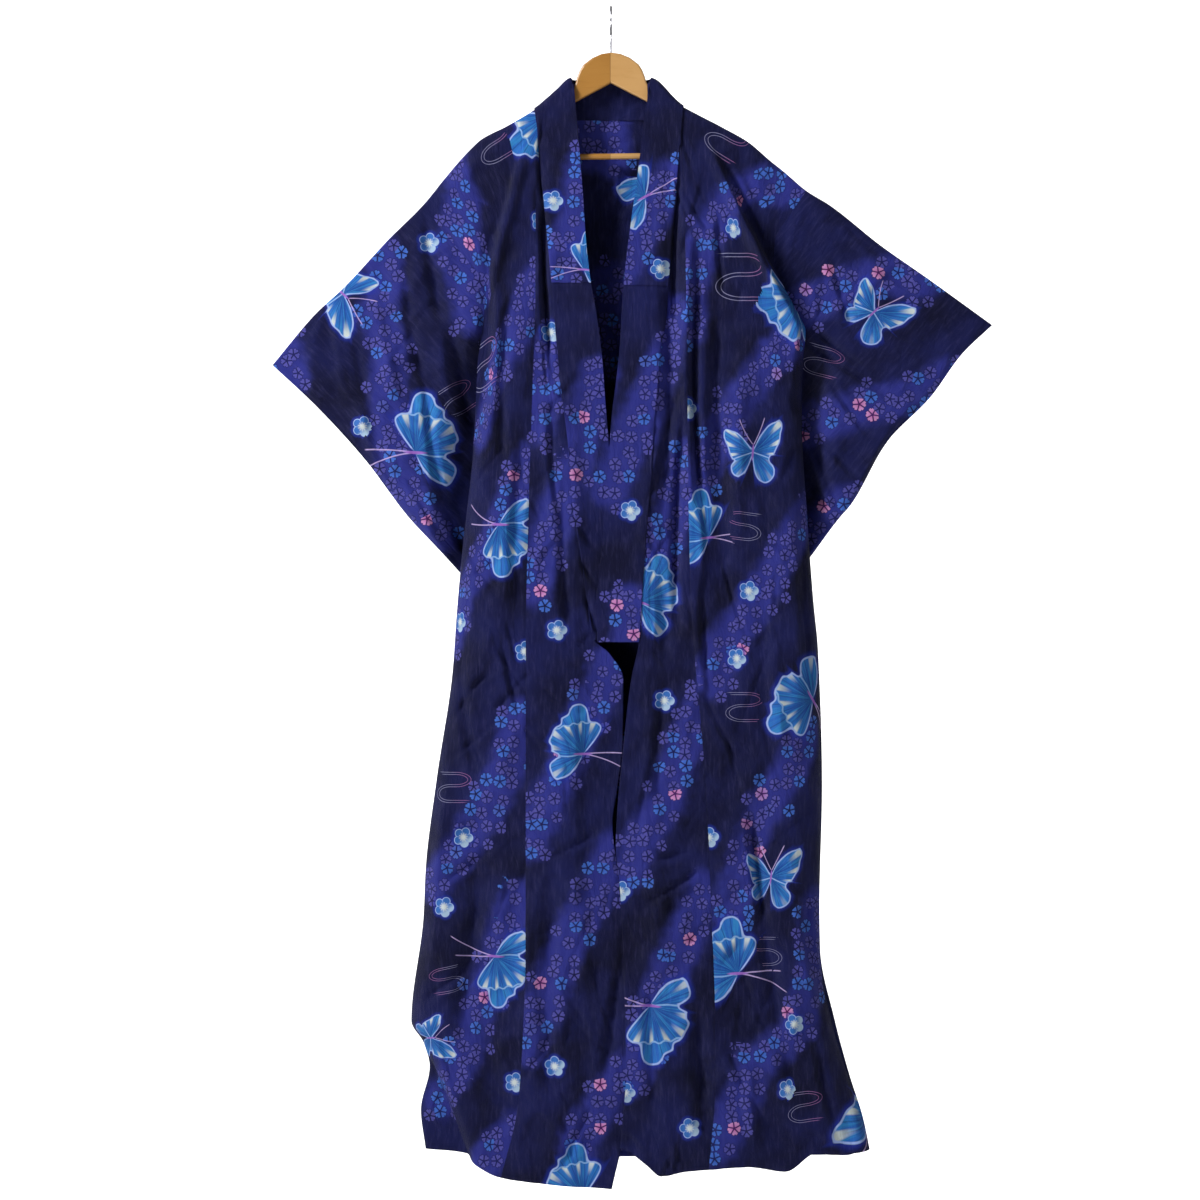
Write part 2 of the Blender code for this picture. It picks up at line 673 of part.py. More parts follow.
def sleeve_place(side, u, v, edges):
    """(out, drop) in the sleeve's patch: u from armhole to cuff, v from top to bottom."""
    top, inner, cuff, bottom = edges
    place = (1 - v) * path_point(top, u) + v * path_point(bottom, u)
    place += (1 - u) * path_point(inner, v) + u * path_point(cuff, v)
    corners = (1 - u) * (1 - v) * np.array(top[0]) + u * (1 - v) * np.array(top[-1])
    corners += (1 - u) * v * np.array(bottom[0]) + u * v * np.array(bottom[-1])
    return place - corners


def sleeve_point(side, u, v, front, edges):
    """A place on the sleeve's front or back layer."""
    out, drop = sleeve_place(side, u, v, edges)
    x = out * SIDES[side]
    body_edge = read(SIDE_EDGE[side], drop)
    tucked = eased((drop - SLEEVE_TUCK["drop"]) / SLEEVE_TUCK["drop_fade"])
    tucked *= eased((body_edge + SLEEVE_TUCK["past_side"] - out) / SLEEVE_TUCK["fade"])
    puff = SLEEVE_PUFF["high"] * math.sin(math.pi * min(u, 0.5 + u / 2))
    thick = over_fold(x, drop) if v > 0.0 else 0.0
    thick += puff * eased(v / SLEEVE_PUFF["top_fade"]) * (1.0 - tucked)
    thick *= quarter((1.0 - v) / CLOSED_END)
    if v > CUFF_OPEN:
        thick *= quarter((1.0 - u) / CLOSED_END)
    ripple = soft_folds(SLEEVE_FOLDS, x, drop) * eased(v / 0.2) * eased(u / 0.2)
    slack = SLEEVE_SLACK["high"] * math.sin(u * SLEEVE_SLACK["waves"])
    ripple += slack * eased((v - 0.5) / 0.5) * (1.0 - u)
    middle = SLEEVE_TUCK["deep"] * tucked - ripple
    return np.array((x, middle - thick if front else middle + thick, -drop))


def sleeve_sheet(side, front):
    """One layer of the sleeve with its normals."""
    edges = sleeve_edges(side)
    chain = np.array(edges[1])
    lengths = np.concatenate(([0.0], np.cumsum(np.linalg.norm(np.diff(chain, axis=0), axis=1))))
    sewn = len(chain) - len(SLEEVE_FREE_EDGE[side]["out"])
    rows = list(lengths[:sewn] / lengths[-1]) + list(SLEEVE_LOWER_ROWS)
    step = 0.004
    sheet = []
    for v in rows:
        row = []
        for u in SLEEVE_COLUMNS:
            here = sleeve_point(side, u, v, front, edges)
            ahead = sleeve_point(side, min(u + step, 1.0), v, front, edges)
            behind = sleeve_point(side, max(u - step, 0.0), v, front, edges)
            above = sleeve_point(side, u, max(v - step, 0.0), front, edges)
            below = sleeve_point(side, u, min(v + step, 1.0), front, edges)
            normal = np.cross(ahead - behind, below - above)
            normal = normal / np.linalg.norm(normal)
            if u == 0.0 and -here[2] < ARMHOLE_END:
                place = front_place if front else back_place
                normal = field_normal(place, side, here[0], -here[2], front)[1]
            if (normal[1] > 0.0) == front:
                normal = -normal
            if v == 0.0:
                normal = crest_normal(here[0])
            if v == 1.0:
                normal += (below - above) / np.linalg.norm(below - above)
            if u == 1.0 and v > CUFF_OPEN:
                normal += (ahead - behind) / np.linalg.norm(ahead - behind)
            row.append((here, normal))
        sheet.append(row)
    sheet[-1][-1] = sheet[-1][-2]
    return sheet


def make_sleeve(side, collection):
    flip = side == "left"
    layers = ((sleeve_sheet(side, True), flip), (sleeve_sheet(side, False), not flip))
    return cloth_wall("sleeve_" + side, layers, CLOTH, "cotton", collection)


def welded_mesh(source, name, finish, collection):
    """The evaluated curve as a closed mesh object with its caps joined on."""
    bpy.context.view_layer.update()
    graph = bpy.context.evaluated_depsgraph_get()
    mesh = bpy.data.meshes.new_from_object(source.evaluated_get(graph))
    tidy = bmesh.new()
    tidy.from_mesh(mesh)
    bmesh.ops.remove_doubles(tidy, verts=tidy.verts, dist=0.00001)
    bmesh.ops.recalc_face_normals(tidy, faces=tidy.faces)
    tidy.to_mesh(mesh)
    tidy.free()
    mesh.name = name
    mesh.materials.clear()
    mesh.materials.append(material(finish))
    made = bpy.data.objects.new(name, mesh)
    made.matrix_world = source.matrix_world
    collection.objects.link(made)
    bpy.data.objects.remove(source)
    return made


def wire(name, points, radius, collection, resolution=2):
    """A round wire with filled ends through the points, which are in millimetres."""
    curve = bpy.data.curves.new(name + "_path", "CURVE")
    curve.dimensions = "3D"
    curve.bevel_depth = radius * MM
    curve.bevel_resolution = resolution
    curve.use_fill_caps = True
    line = curve.splines.new("POLY")
    line.points.add(len(points) - 1)
    for point, place in zip(line.points, points):
        point.co = (place[0] * MM, place[1] * MM, place[2] * MM, 1.0)
    made = bpy.data.objects.new(name + "_path", curve)
    collection.objects.link(made)
    return made


def tilted(x, drop):
    """A place on the hanger after it tilts about the hook."""
    return x, -drop + x * math.tan(HANGER_TILT)


def make_hanger(collection, cutters):
    """The wooden arms, drilled for the hook's shank and the trouser bar."""
    outs = HANGER_OUTLINE["out"]
    drops = HANGER_OUTLINE["drop"]
    half = list(zip(outs, drops))
    outline = [tilted(out, drop) for out, drop in half]
    outline += [tilted(-out, drop) for out, drop in half[-2:0:-1]]
    curve = bpy.data.curves.new("hanger_outline", "CURVE")
    curve.dimensions = "2D"
    curve.fill_mode = "BOTH"
    curve.extrude = (WOOD_THICK / 2 - WOOD_ROUNDING) * MM
    curve.bevel_depth = WOOD_ROUNDING * MM
    curve.bevel_resolution = 1
    curve.offset = -WOOD_ROUNDING * MM
    line = curve.splines.new("POLY")
    line.points.add(len(outline) - 1)
    for point, (x, z) in zip(line.points, outline):
        point.co = (x * MM, z * MM, 0.0, 1.0)
    line.use_cyclic_u = True
    source = bpy.data.objects.new("hanger_outline", curve)
    source.rotation_euler = (math.radians(90.0), 0.0, 0.0)
    collection.objects.link(source)
    wood = welded_mesh(source, "hanger_wood", "honey_wood", collection)
    shank_top = -HANGER_OUTLINE["drop"][0] + 10.0
    shank_end = -HANGER_OUTLINE["drop"][0] - SHANK_DEPTH
    left_end = tilted(BAR_HALF + SEAM_GAP, BAR_DROP)
    right_end = tilted(-BAR_HALF - SEAM_GAP, BAR_DROP)
    bores = (
        ("shank_bore", (0.0, 0.0, shank_top), (0.0, 0.0, shank_end - SEAM_GAP), WIRE_RADIUS),
        ("bar_bore", (left_end[0], 0.0, left_end[1]), (right_end[0], 0.0, right_end[1]),
         BAR_RADIUS),
    )
    for name, start, end, radius in bores:
        path = wire(name, (start, end), radius + SEAM_GAP, cutters, 3)
        cutter = welded_mesh(path, name, "honey_wood", cutters)
        cutter.display_type = "WIRE"
        cutter.hide_render = True
        cut = wood.modifiers.new(name, "BOOLEAN")
        cut.operation = "DIFFERENCE"
        cut.object = cutter
    return wood


def make_bar(collection):
    left_end = tilted(BAR_HALF, BAR_DROP)
    right_end = tilted(-BAR_HALF, BAR_DROP)
    ends = ((left_end[0], 0.0, left_end[1]), (right_end[0], 0.0, right_end[1]))
    path = wire("hanger_bar", ends, BAR_RADIUS, collection, 3)
    return welded_mesh(path, "hanger_bar", "honey_wood", collection)


def make_hook(collection):
    """The wire hook lies square to the hanger's plane, with its mouth to the front."""
    crown = -HANGER_OUTLINE["drop"][0]
    middle = WIRE_RADIUS - HOOK_RADIUS
    points = [(0.0, 0.0, crown - SHANK_DEPTH), (0.0, 0.0, crown)]
    points += [(0.0, out, middle - drop) for out, drop in zip(HOOK_NECK["out"], HOOK_NECK["drop"])]
    turns = np.arange(HOOK_TURNS["start"], HOOK_TURNS["end"], HOOK_TURNS["step"])
    for turn in np.radians(turns):
        points.append((0.0, HOOK_RADIUS * math.cos(turn), middle + HOOK_RADIUS * math.sin(turn)))
    path = wire("hanger_hook", points, WIRE_RADIUS, collection)
    return welded_mesh(path, "hanger_hook", "steel", collection)


def main():
    for old in list(bpy.data.objects):
        bpy.data.objects.remove(old)
    scene = bpy.context.scene
    robe = bpy.data.collections.new("kimono_robe_on_hanger")
    cutters = bpy.data.collections.new("cutters")
    scene.collection.children.link(robe)
    scene.collection.children.link(cutters)
    for side in SIDES:
        make_body(side, robe)
        make_okumi(side, robe)
        make_sleeve(side, robe)
    make_collar(robe)
    make_hanger(robe, cutters)
    make_bar(robe)
    make_hook(robe)


main()
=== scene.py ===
import math

import bpy
import numpy as np
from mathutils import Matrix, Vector


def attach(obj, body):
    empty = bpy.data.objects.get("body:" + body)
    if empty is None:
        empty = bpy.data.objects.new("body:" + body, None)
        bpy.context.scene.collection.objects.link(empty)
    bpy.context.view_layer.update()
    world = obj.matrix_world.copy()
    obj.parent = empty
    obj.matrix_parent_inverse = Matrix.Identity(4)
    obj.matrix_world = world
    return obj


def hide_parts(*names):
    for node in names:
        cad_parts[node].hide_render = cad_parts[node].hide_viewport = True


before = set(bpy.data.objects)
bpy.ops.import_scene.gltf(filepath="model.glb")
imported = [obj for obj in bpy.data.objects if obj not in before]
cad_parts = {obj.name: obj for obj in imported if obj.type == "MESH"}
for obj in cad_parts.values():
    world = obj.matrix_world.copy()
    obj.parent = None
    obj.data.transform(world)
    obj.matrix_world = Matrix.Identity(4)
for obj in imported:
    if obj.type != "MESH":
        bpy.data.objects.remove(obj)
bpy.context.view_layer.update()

# The cloth is drawn in millimetres.  "drop" is the distance below the hook's bearing point and
# "out" the distance from the robe's middle towards the side.  Left and right are the wearer's.
MM = 0.001
CLOTH = 0.9             # one thickness of cotton with its hems and seam turnings
COLLAR_CLOTH = 3.0      # the folded collar
COVER_CLOTH = 5.0       # the collar with the over-collar round it
GRID = 5.0              # spacing of the cloth's points
SEAM_GAP = -0.2         # the pieces meet under their seams
FOLD_OVER_WOOD = 8.0    # radius of the cloth's fold where it lies over the wood
FOLD_FREE = 4.0         # radius of the fold past the hanger and along the sleeves
WOOD_END = 206.0        # out: from here the fold grows narrower
WOOD_END_FADE = 24.0
CROWN_CLEAR = 9.3       # the collar's distance from the hanger's plane beside the crown
CROWN_SIDE = 59.0
CROWN_FADE = 4.0
SETTLE = 60.0           # drop below the shoulder where the folds have their full depth
SIDE_TURN = 8.0
BACK_ROLL = 34.0
SEAM_AT_NECK = {"right": 112.0, "left": 106.0}
ARMHOLE_END = 475.0
SIDE_SEAM_TOP = 596.0
SIDE_SEAM_FADE = 24.0   # the open side closes over this length
CUFF_OPEN = 0.47        # share of the sleeve's depth that is open at the cuff
CLOSED_END = 0.03
HEM_FOLD = 17.0         # width of the turned hem
SEAM_DIP = {"deep": 0.9, "reach": 2.6}
STITCH_DIP = {"deep": 0.7, "reach": 2.0}
CALM = {"below_fold": 30.0, "from_side": 22.0}  # the crumples have full depth this far away
LARGE_FOLDS = 1.4       # how much deeper the large folds hang than their table says
PRESSED_CREASES = 1.7   # and the placed creases
WELD = 0.004            # points nearer than this are one
SIDES = {"right": -1.0, "left": 1.0}

UNDERLAP = {"deep": 8.0, "x": -62.0, "x_fade": 30.0, "drop": 470.0, "drop_fade": 120.0}
NECK_BOW = {"high": 8.0, "out_fade": 105.0, "drop": 170.0, "drop_fade": 220.0, "top_fade": 12.0}
SLEEVE_TUCK = {"deep": 42.0, "drop": 470.0, "drop_fade": 74.0, "past_side": 60.0, "fade": 70.0}
SLEEVE_PUFF = {"high": 7.0, "top_fade": 0.25}
SLEEVE_SLACK = {"high": 3.0, "waves": 15.0}

# The shoulder line and the sleeve's top fold, from the neck out to the cuff.
SHOULDER = {
    "right": {
        "out": (0, 59, 78, 96, 112, 152, 192, 202, 223, 249, 274, 327, 395, 435, 499),
        "drop": (100, 105, 121, 138, 150, 174, 195, 204, 226, 257, 288, 341, 414, 451, 527),
    },
    "left": {
        "out": (0, 59, 99, 106, 117, 165, 202, 235, 255, 288, 322, 398, 465, 562),
        "drop": (100, 105, 141, 146, 152, 177, 198, 226, 242, 270, 291, 351, 398, 468),
    },
}

# The body's side: down the sleeve seam, the open side and the side seam to the hem.
SIDE_EDGE = {
    "right": {
        "drop": (288, 322, 354, 386, 401, 431, 475, 530, 606, 667, 792, 892, 976, 1139,
                 1271, 1338, 1494, 1525, 1561, 1625, 1682),
        "out": (274, 254, 227, 201, 188, 186, 190, 197, 200, 204, 218, 227, 233, 257,
                273, 276, 294, 276, 267, 280, 273),
    },
    "left": {
        "drop": (270, 305, 342, 375, 401, 457, 476, 513, 602, 751, 873, 947, 1146,
                 1326, 1386, 1494, 1572, 1639, 1682),
        "out": (288, 264, 242, 240, 250, 279, 287, 284, 281, 289, 298, 305, 311,
                307, 308, 330, 351, 372, 381),
    },
}

# The fold at the outer side of each front, and how softly it rolls.
FRONT_FOLD = {
    "right": {
        "drop": (165, 209, 249, 291, 330, 363, 401, 431, 530, 569, 606, 667, 720, 1494,
                 1561, 1692),
        "out": (124, 139, 150, 159, 171, 178, 184, 181, 181, 187, 194, 203, 211, 294,
                259, 208),
        "roll": (10, 10, 9, 9, 9, 9, 10, 12, 14, 16, 20, 28, 36, 34, 16, 12),
    },
    "left": {
        "drop": (174, 220, 261, 311, 338, 375, 423, 476, 513, 602, 751, 1055, 1386, 1682),
        "out": (136, 161, 181, 202, 217, 236, 260, 286, 284, 281, 289, 308, 308, 381),
        "roll": (10, 10, 10, 9, 9, 9, 10, 12, 14, 22, 34, 42, 40, 34),
    },
}

# The soft ridge beside that fold.
FOLD_RIDGE = {
    "right": {"drop": (190, 260, 400, 520), "high": (0, 9, 9, 0)},
    "left": {"drop": (190, 250, 420, 560), "high": (0, 13, 15, 0)},
}
RIDGE_INSIDE = 13.0
RIDGE_WIDE = 9.0

# The seam between front and collar, and below it between front and okumi.
FRONT_SEAM = {
    "right": {
        "drop": (150, 190, 240, 283, 416, 519, 740, 932, 1389, 1463, 1611, 1719),
        "out": (112, 108, 106, 111, 111, 114, 121, 125, 125, 127, 136, 161),
    },
    "left": {
        "drop": (146, 195, 283, 578, 740, 873, 934, 1080, 1205, 1356, 1476, 1596, 1707),
        "out": (106, 103, 108, 112, 114, 117, 121, 134, 142, 148, 152, 152, 143),
    },
}

# The collar's seam, and below its end the okumi's free front edge.
COLLAR_SEAM = {
    "right": {
        "drop": (150, 190, 240, 327, 404, 482, 555, 646, 740, 817, 878, 932, 950, 990,
                 1080, 1150, 1200, 1260, 1356, 1476, 1566, 1650, 1736),
        "out": (112, 108, 102, 93, 87, 81, 74, 63, 55, 43, 35, 25, 4, -18,
                -17, -9, -2, -8, -22, -31, -30, -20, -1),
    },
    "left": {
        "drop": (146, 195, 233, 304, 369, 454, 510, 562, 618, 696, 768, 844, 935, 988,
                 1080, 1187, 1236, 1295, 1416, 1566, 1645, 1676),
        "out": (106, 102, 99, 91, 86, 81, 72, 68, 63, 59, 52, 47, 41, 30,
                19, 9, 7, 13, 19, 22, 16, 13),
    },
}
COLLAR_END = {"right": 932.0, "left": 935.0}
COVER_END = {"right": 407.0, "left": 411.0}
OKUMI_TIP = {"right": 196.0, "left": 203.0}

# The collar's free edge, next to the wearer's throat.
COLLAR_EDGE = {
    "right": {
        "drop": (105, 111, 125, 180, 283, 341, 403, 454, 519, 599, 633, 740, 817, 878, 932),
        "out": (59, 56, 54, 49, 41, 37, 30, 21, 13, 7, 4, -7, -18, -27, -37),
    },
    "left": {
        "drop": (105, 111, 139, 180, 232, 313, 384, 440, 496, 555, 603, 674, 726, 794, 875, 935),
        "out": (59, 56, 53, 47, 41, 30, 21, 16, 13, 7, 1, -4, -9, -13, -21, -20),
    },
}

# Behind the neck: the seam and the free edge from the middle out to the shoulder line.
NECK_SEAM = {"share": (0.0, 0.54, 0.8), "drop": (164, 164, 160)}
NECK_EDGE = {"share": (0.0, 0.55, 0.85, 1.0), "drop": (107, 107, 106, 105)}

# The hem of the front and of the back, from the middle out.
FRONT_HEM = {
    "right": {
        "out": (-1, 59, 112, 161, 201, 212, 273),
        "drop": (1736, 1732, 1726, 1719, 1699, 1689, 1682),
    },
    "left": {
        "out": (13, 27, 50, 74, 105, 143, 201, 255, 302, 330, 381),
        "drop": (1676, 1682, 1699, 1717, 1711, 1707, 1704, 1711, 1684, 1687, 1682),
    },
}
BACK_HEM = {
    "right": {"out": (0, 150, 273), "drop": (1700, 1700, 1682)},
    "left": {"out": (0, 250, 330, 350, 381), "drop": (1700, 1694, 1697, 1697, 1682)},
}
FULLNESS = {
    "drop": (150, 250, 400, 600, 900, 1300, 1740),
    "front": (0, 7, 16, 22, 28, 36, 44),
    "back": (0, 6, 12, 17, 24, 31, 38),
}

# The large folds, as soft troughs (minus) and ridges (plus): two ends, half width, height.
FOLD_COLUMNS = ("x1", "drop1", "x2", "drop2", "wide", "high")
FRONT_FOLDS = (
    (-106, 190, -94, 520, 9, -7),
    (-140, 420, -172, 1150, 24, 5),
    (-60, 1020, -92, 1690, 30, 6),
    (-205, 1180, -170, 1660, 22, -8),
    (90, 230, 80, 960, 12, -11),
    (118, 300, 124, 900, 16, 4),
    (150, 560, 176, 1000, 16, -5),
    (204, 1180, 226, 1400, 14, -8),
    (250, 620, 262, 1650, 24, 6),
    (60, 1180, 82, 1690, 26, 7),
    (330, 1450, 352, 1690, 16, -8),
)
BACK_FOLDS = (
    (-170, 1000, -190, 1690, 30, 8),
    (-80, 520, -100, 1690, 26, -8),
    (0, 300, -14, 1690, 30, 6),
    (70, 480, 96, 1690, 26, -8),
    (170, 1000, 190, 1690, 30, 8),
    (225, 900, 285, 1690, 24, -7),
)

# The sleeve: its inner edge below the armhole, hidden behind the body, and the cuff.
SLEEVE_FREE_EDGE = {
    "right": {"out": (190, 190, 189, 183, 170, 145), "drop": (475, 500, 532, 572, 625, 690)},
    "left": {"out": (287, 282, 279, 273, 258, 228), "drop": (476, 500, 530, 566, 625, 690)},
}
CUFF = {
    "right": {
        "out": (499, 435, 361, 298, 258, 223, 175),
        "drop": (527, 587, 668, 751, 794, 833, 888),
    },
    "left": {
        "out": (562, 518, 471, 407, 353, 335, 294, 262),
        "drop": (468, 510, 574, 640, 733, 754, 811, 850),
    },
}
SLEEVE_FOLDS = (
    (-430, 520, -250, 760, 30, 6),
    (-330, 440, -235, 600, 18, -4),
    (300, 480, 400, 570, 14, -4),
    (318, 560, 320, 760, 16, 5),
)

# The print, placed by where its motifs lie in the picture: pixels across and down.
PICTURE_MIDDLE = 611.0
PICTURE_TOP = 8.0
MM_PER_PIXEL = 1.475

# The middle lines of the blossom bands on each piece's front.
BANDS = {
    "body_left": (
        ((688, 330), (690, 280), (700, 250), (725, 205), (760, 183), (800, 190)),
        ((802, 332), (771, 357), (739, 399), (725, 427), (704, 469), (697, 486)),
        ((806, 511), (788, 543), (767, 581), (750, 609), (721, 646), (710, 679)),
        ((803, 736), (789, 768), (771, 793), (760, 814), (746, 850), (728, 911)),
        ((814, 905), (812, 957), (799, 1021), (778, 1043), (753, 1061), (742, 1089), (731, 1118),
         (717, 1143)),
    ),
    "okumi_left": (
        ((672, 315), (660, 364), (641, 427)),
        ((690, 455), (673, 511), (659, 557), (640, 609)),
        ((717, 689), (696, 718), (681, 750), (664, 800), (646, 829), (628, 868)),
        ((706, 886), (692, 914), (674, 957), (660, 993), (646, 1039), (631, 1075)),
    ),
    "sleeve_left": (
        ((803, 308), (844, 287), (893, 274), (923, 282)),
        ((803, 427), (862, 407), (913, 397), (949, 376)),
        ((811, 532), (844, 504)),
    ),
    "body_right": (
        ((453, 164), (463, 195), (460, 230), (474, 258), (484, 286)),
        ((533, 286), (519, 332), (495, 371), (488, 406), (481, 434)),
        ((530, 462), (516, 493), (502, 529), (484, 557), (467, 588), (456, 640)),
        ((522, 717), (509, 762), (487, 811), (456, 856), (434, 882)),
        ((520, 897), (509, 920), (490, 976), (475, 1025), (460, 1063), (440, 1100)),
        ((515, 1128), (498, 1142), (480, 1168)),
    ),
    "okumi_right": (
        ((554, 343), (544, 388), (537, 427)),
        ((575, 469), (558, 511), (547, 546), (533, 588)),
        ((614, 656), (599, 687), (562, 773), (543, 811), (530, 841)),
        ((614, 848), (599, 886), (577, 920), (558, 961), (528, 1044)),
        ((626, 1067), (611, 1089), (588, 1119), (577, 1138)),
    ),
    "sleeve_right": (
        ((379, 253), (386, 284), (376, 314), (389, 345), (389, 391), (392, 437), (398, 474),
         (419, 510), (438, 535)),
        ((453, 244), (467, 286), (474, 318)),
        ((284, 352), (292, 378)),
    ),
    "over_collar": (
        ((673, 178), (658, 205), (641, 230), (622, 270)),
        ((586, 165), (580, 206), (568, 241), (554, 285)),
    ),
    "collar": (
        ((668, 356), (655, 385), (640, 415), (625, 450), (610, 490)),
        ((598, 376), (582, 427), (572, 476), (562, 500)),
        ((629, 604), (632, 625), (628, 646)),
    ),
    "back": (
        ((590, 124), (592, 150)),
        ((610, 124), (612, 158)),
        ((612, 280), (616, 330), (606, 362)),
    ),
}
BAND_HALF = 27.0

# Placed motifs: piece, kind, its foot or middle, its tip, and -1 where it is mirrored.
MOTIF_COLUMNS = ("piece", "kind", "foot", "tip", "hand")
MOTIFS = (
    ("okumi_right", "side", (583, 753), (578, 704), 1),
    ("body_right", "side", (500, 525), (503, 577), 1),
    ("body_right", "side", (496, 954), (499, 1005), 1),
    ("okumi_left", "side", (650, 1003), (652, 1061), 1),
    ("body_left", "side", (708, 538), (699, 490), 1),
    ("body_left", "side", (811, 699), (768, 728), -1),
    ("body_left", "side", (737, 971), (729, 915), 1),
    ("body_left", "side", (792, 298), (755, 300), 1),
    ("okumi_right", "side", (583, 1192), (575, 1140), 1),
    ("over_collar", "side", (584, 271), (591, 232), -1),
    ("over_collar", "side", (645, 198), (618, 160), 1),
    ("sleeve_right", "side", (416, 453), (425, 393), -1),
    ("body_right", "side", (548, 116), (512, 152), 1),
    ("okumi_left", "side", (640, 602), (663, 556), -1),
    ("body_left", "open", (870, 1117), (832, 1137), 1),
    ("body_left", "open", (752, 453), (779, 422), 1),
    ("body_left", "open", (770, 876), (799, 848), 1),
    ("sleeve_left", "open", (873, 313), (915, 310), 1),
    ("sleeve_right", "open", (343, 294), (349, 338), 1),
    ("body_right", "open", (432, 1035), (457, 1052), 1),
    ("okumi_right", "flower", (557, 630), (560, 620), 1),
    ("body_right", "flower", (464, 836), (468, 827), 1),
    ("body_right", "flower", (445, 905), (449, 895), 1),
    ("okumi_right", "flower", (555, 1063), (555, 1052), 1),
    ("body_right", "flower", (515, 1079), (518, 1069), 1),
    ("okumi_left", "flower", (664, 700), (668, 690), 1),
    ("body_left", "flower", (736, 658), (741, 648), 1),
    ("body_left", "flower", (748, 591), (751, 580), 1),
    ("body_left", "flower", (793, 1021), (789, 1011), 1),
    ("body_left", "flower", (786, 1086), (789, 1076), 1),
    ("okumi_left", "flower", (689, 1124), (686, 1114), 1),
    ("okumi_right", "flower", (573, 386), (576, 375), 1),
    ("collar", "flower", (630, 511), (634, 501), 1),
    ("over_collar", "flower", (553, 202), (557, 192), 1),
    ("body_right", "flower", (538, 221), (539, 210), 1),
    ("sleeve_right", "flower", (363, 427), (366, 417), 1),
    ("body_left", "flower", (733, 229), (738, 219), 1),
    ("body_left", "flower", (816, 227), (818, 216), 1),
    ("okumi_left", "flower", (620, 889), (624, 879), 1),
    ("sleeve_right", "flower", (429, 243), (431, 232), 1),
    ("over_collar", "flower", (660, 270), (655, 260), 1),
    ("body_left", "flower", (687, 410), (689, 399), 1),
    ("body_left", "flower", (708, 836), (710, 825), 1),
    ("body_right", "flower", (525, 651), (526, 640), 1),
    ("okumi_left", "flower", (625, 1089), (628, 1079), 1),
    ("body_right", "flower", (461, 622), (464, 612), 1),
    ("okumi_right", "flower", (551, 333), (552, 322), 1),
    ("body_right", "water", (496, 146), (524, 128), 1),
    ("body_right", "water", (486, 366), (514, 350), 1),
    ("sleeve_right", "water", (457, 399), (486, 380), 1),
    ("body_right", "water", (454, 787), (486, 787), 1),
    ("body_left", "water", (744, 279), (776, 279), 1),
    ("body_left", "water", (742, 527), (772, 531), -1),
    ("body_left", "water", (726, 142), (755, 160), 1),
    ("sleeve_left", "water", (823, 362), (855, 372), 1),
    ("body_left", "water", (744, 707), (776, 707), 1),
    ("body_left", "water", (803, 1104), (835, 1100), 1),
    ("body_left", "water", (764, 950), (792, 950), -1),
    ("body_right", "water", (448, 978), (476, 972), -1),
)
MOTIF_KINDS = ("none", "side", "open", "flower", "water")
MOTIF_REACH = {"side": 1.25, "open": 1.2, "flower": 1.5, "water": 1.2}
FLOWER_RADIUS = 15.0
REPEAT = (380.0, 631.0)


def seen(spot):
    """Millimetres (x, drop) of a spot in the picture."""
    return np.array(((spot[0] - PICTURE_MIDDLE) * MM_PER_PIXEL, (spot[1] - PICTURE_TOP) * MM_PER_PIXEL))


def eased(share):
    """Zero to one with level ends."""
    share = np.clip(share, 0.0, 1.0)
    return share * share * (3.0 - 2.0 * share)


def quarter(share):
    """Zero to one along a quarter circle."""
    share = np.clip(share, 0.0, 1.0)
    return np.sqrt(1.0 - (1.0 - share) ** 2)


def smooth(at, knots, values):
    """A curve through the values that never swings past them."""
    knots = np.asarray(knots, dtype=float)
    values = np.asarray(values, dtype=float)
    step = np.diff(knots)
    rise = np.diff(values) / step
    slope = np.zeros_like(values)
    slope[0] = rise[0]
    slope[-1] = rise[-1]
    if len(values) > 2:
        same = rise[1:] * rise[:-1] > 0.0
        left = np.where(same, rise[:-1], 1.0)
        right = np.where(same, rise[1:], 1.0)
        weight1 = 2.0 * step[1:] + step[:-1]
        weight2 = step[1:] + 2.0 * step[:-1]
        slope[1:-1] = np.where(same, (weight1 + weight2) / (weight1 / left + weight2 / right), 0.0)
    at = np.clip(np.asarray(at, dtype=float), knots[0], knots[-1])
    k = np.clip(np.searchsorted(knots, at, side="right") - 1, 0, len(step) - 1)
    t = (at - knots[k]) / step[k]
    start = values[k] * (1 + 2 * t) * (1 - t) ** 2 + step[k] * slope[k] * t * (1 - t) ** 2
    end = values[k + 1] * t * t * (3 - 2 * t) - step[k] * slope[k + 1] * t * t * (1 - t)
    return start + end


def read(table, at, column="out", by="drop"):
    return smooth(at, table[by], table[column])


def crest(x):
    """Drop of the shoulder line, or of the sleeve's top fold, at x."""
    x = np.asarray(x, dtype=float)
    left = read(SHOULDER["left"], np.abs(x), "drop", "out")
    right = read(SHOULDER["right"], np.abs(x), "drop", "out")
    return np.where(x >= 0.0, left, right)


def over_fold(x, drop):
    """Distance from the hanger's plane where the cloth only turns over its top fold."""
    past_wood = eased((np.abs(x) - WOOD_END) / WOOD_END_FADE)
    radius = FOLD_OVER_WOOD + (FOLD_FREE - FOLD_OVER_WOOD) * past_wood
    return radius * quarter((drop - crest(x)) / radius)


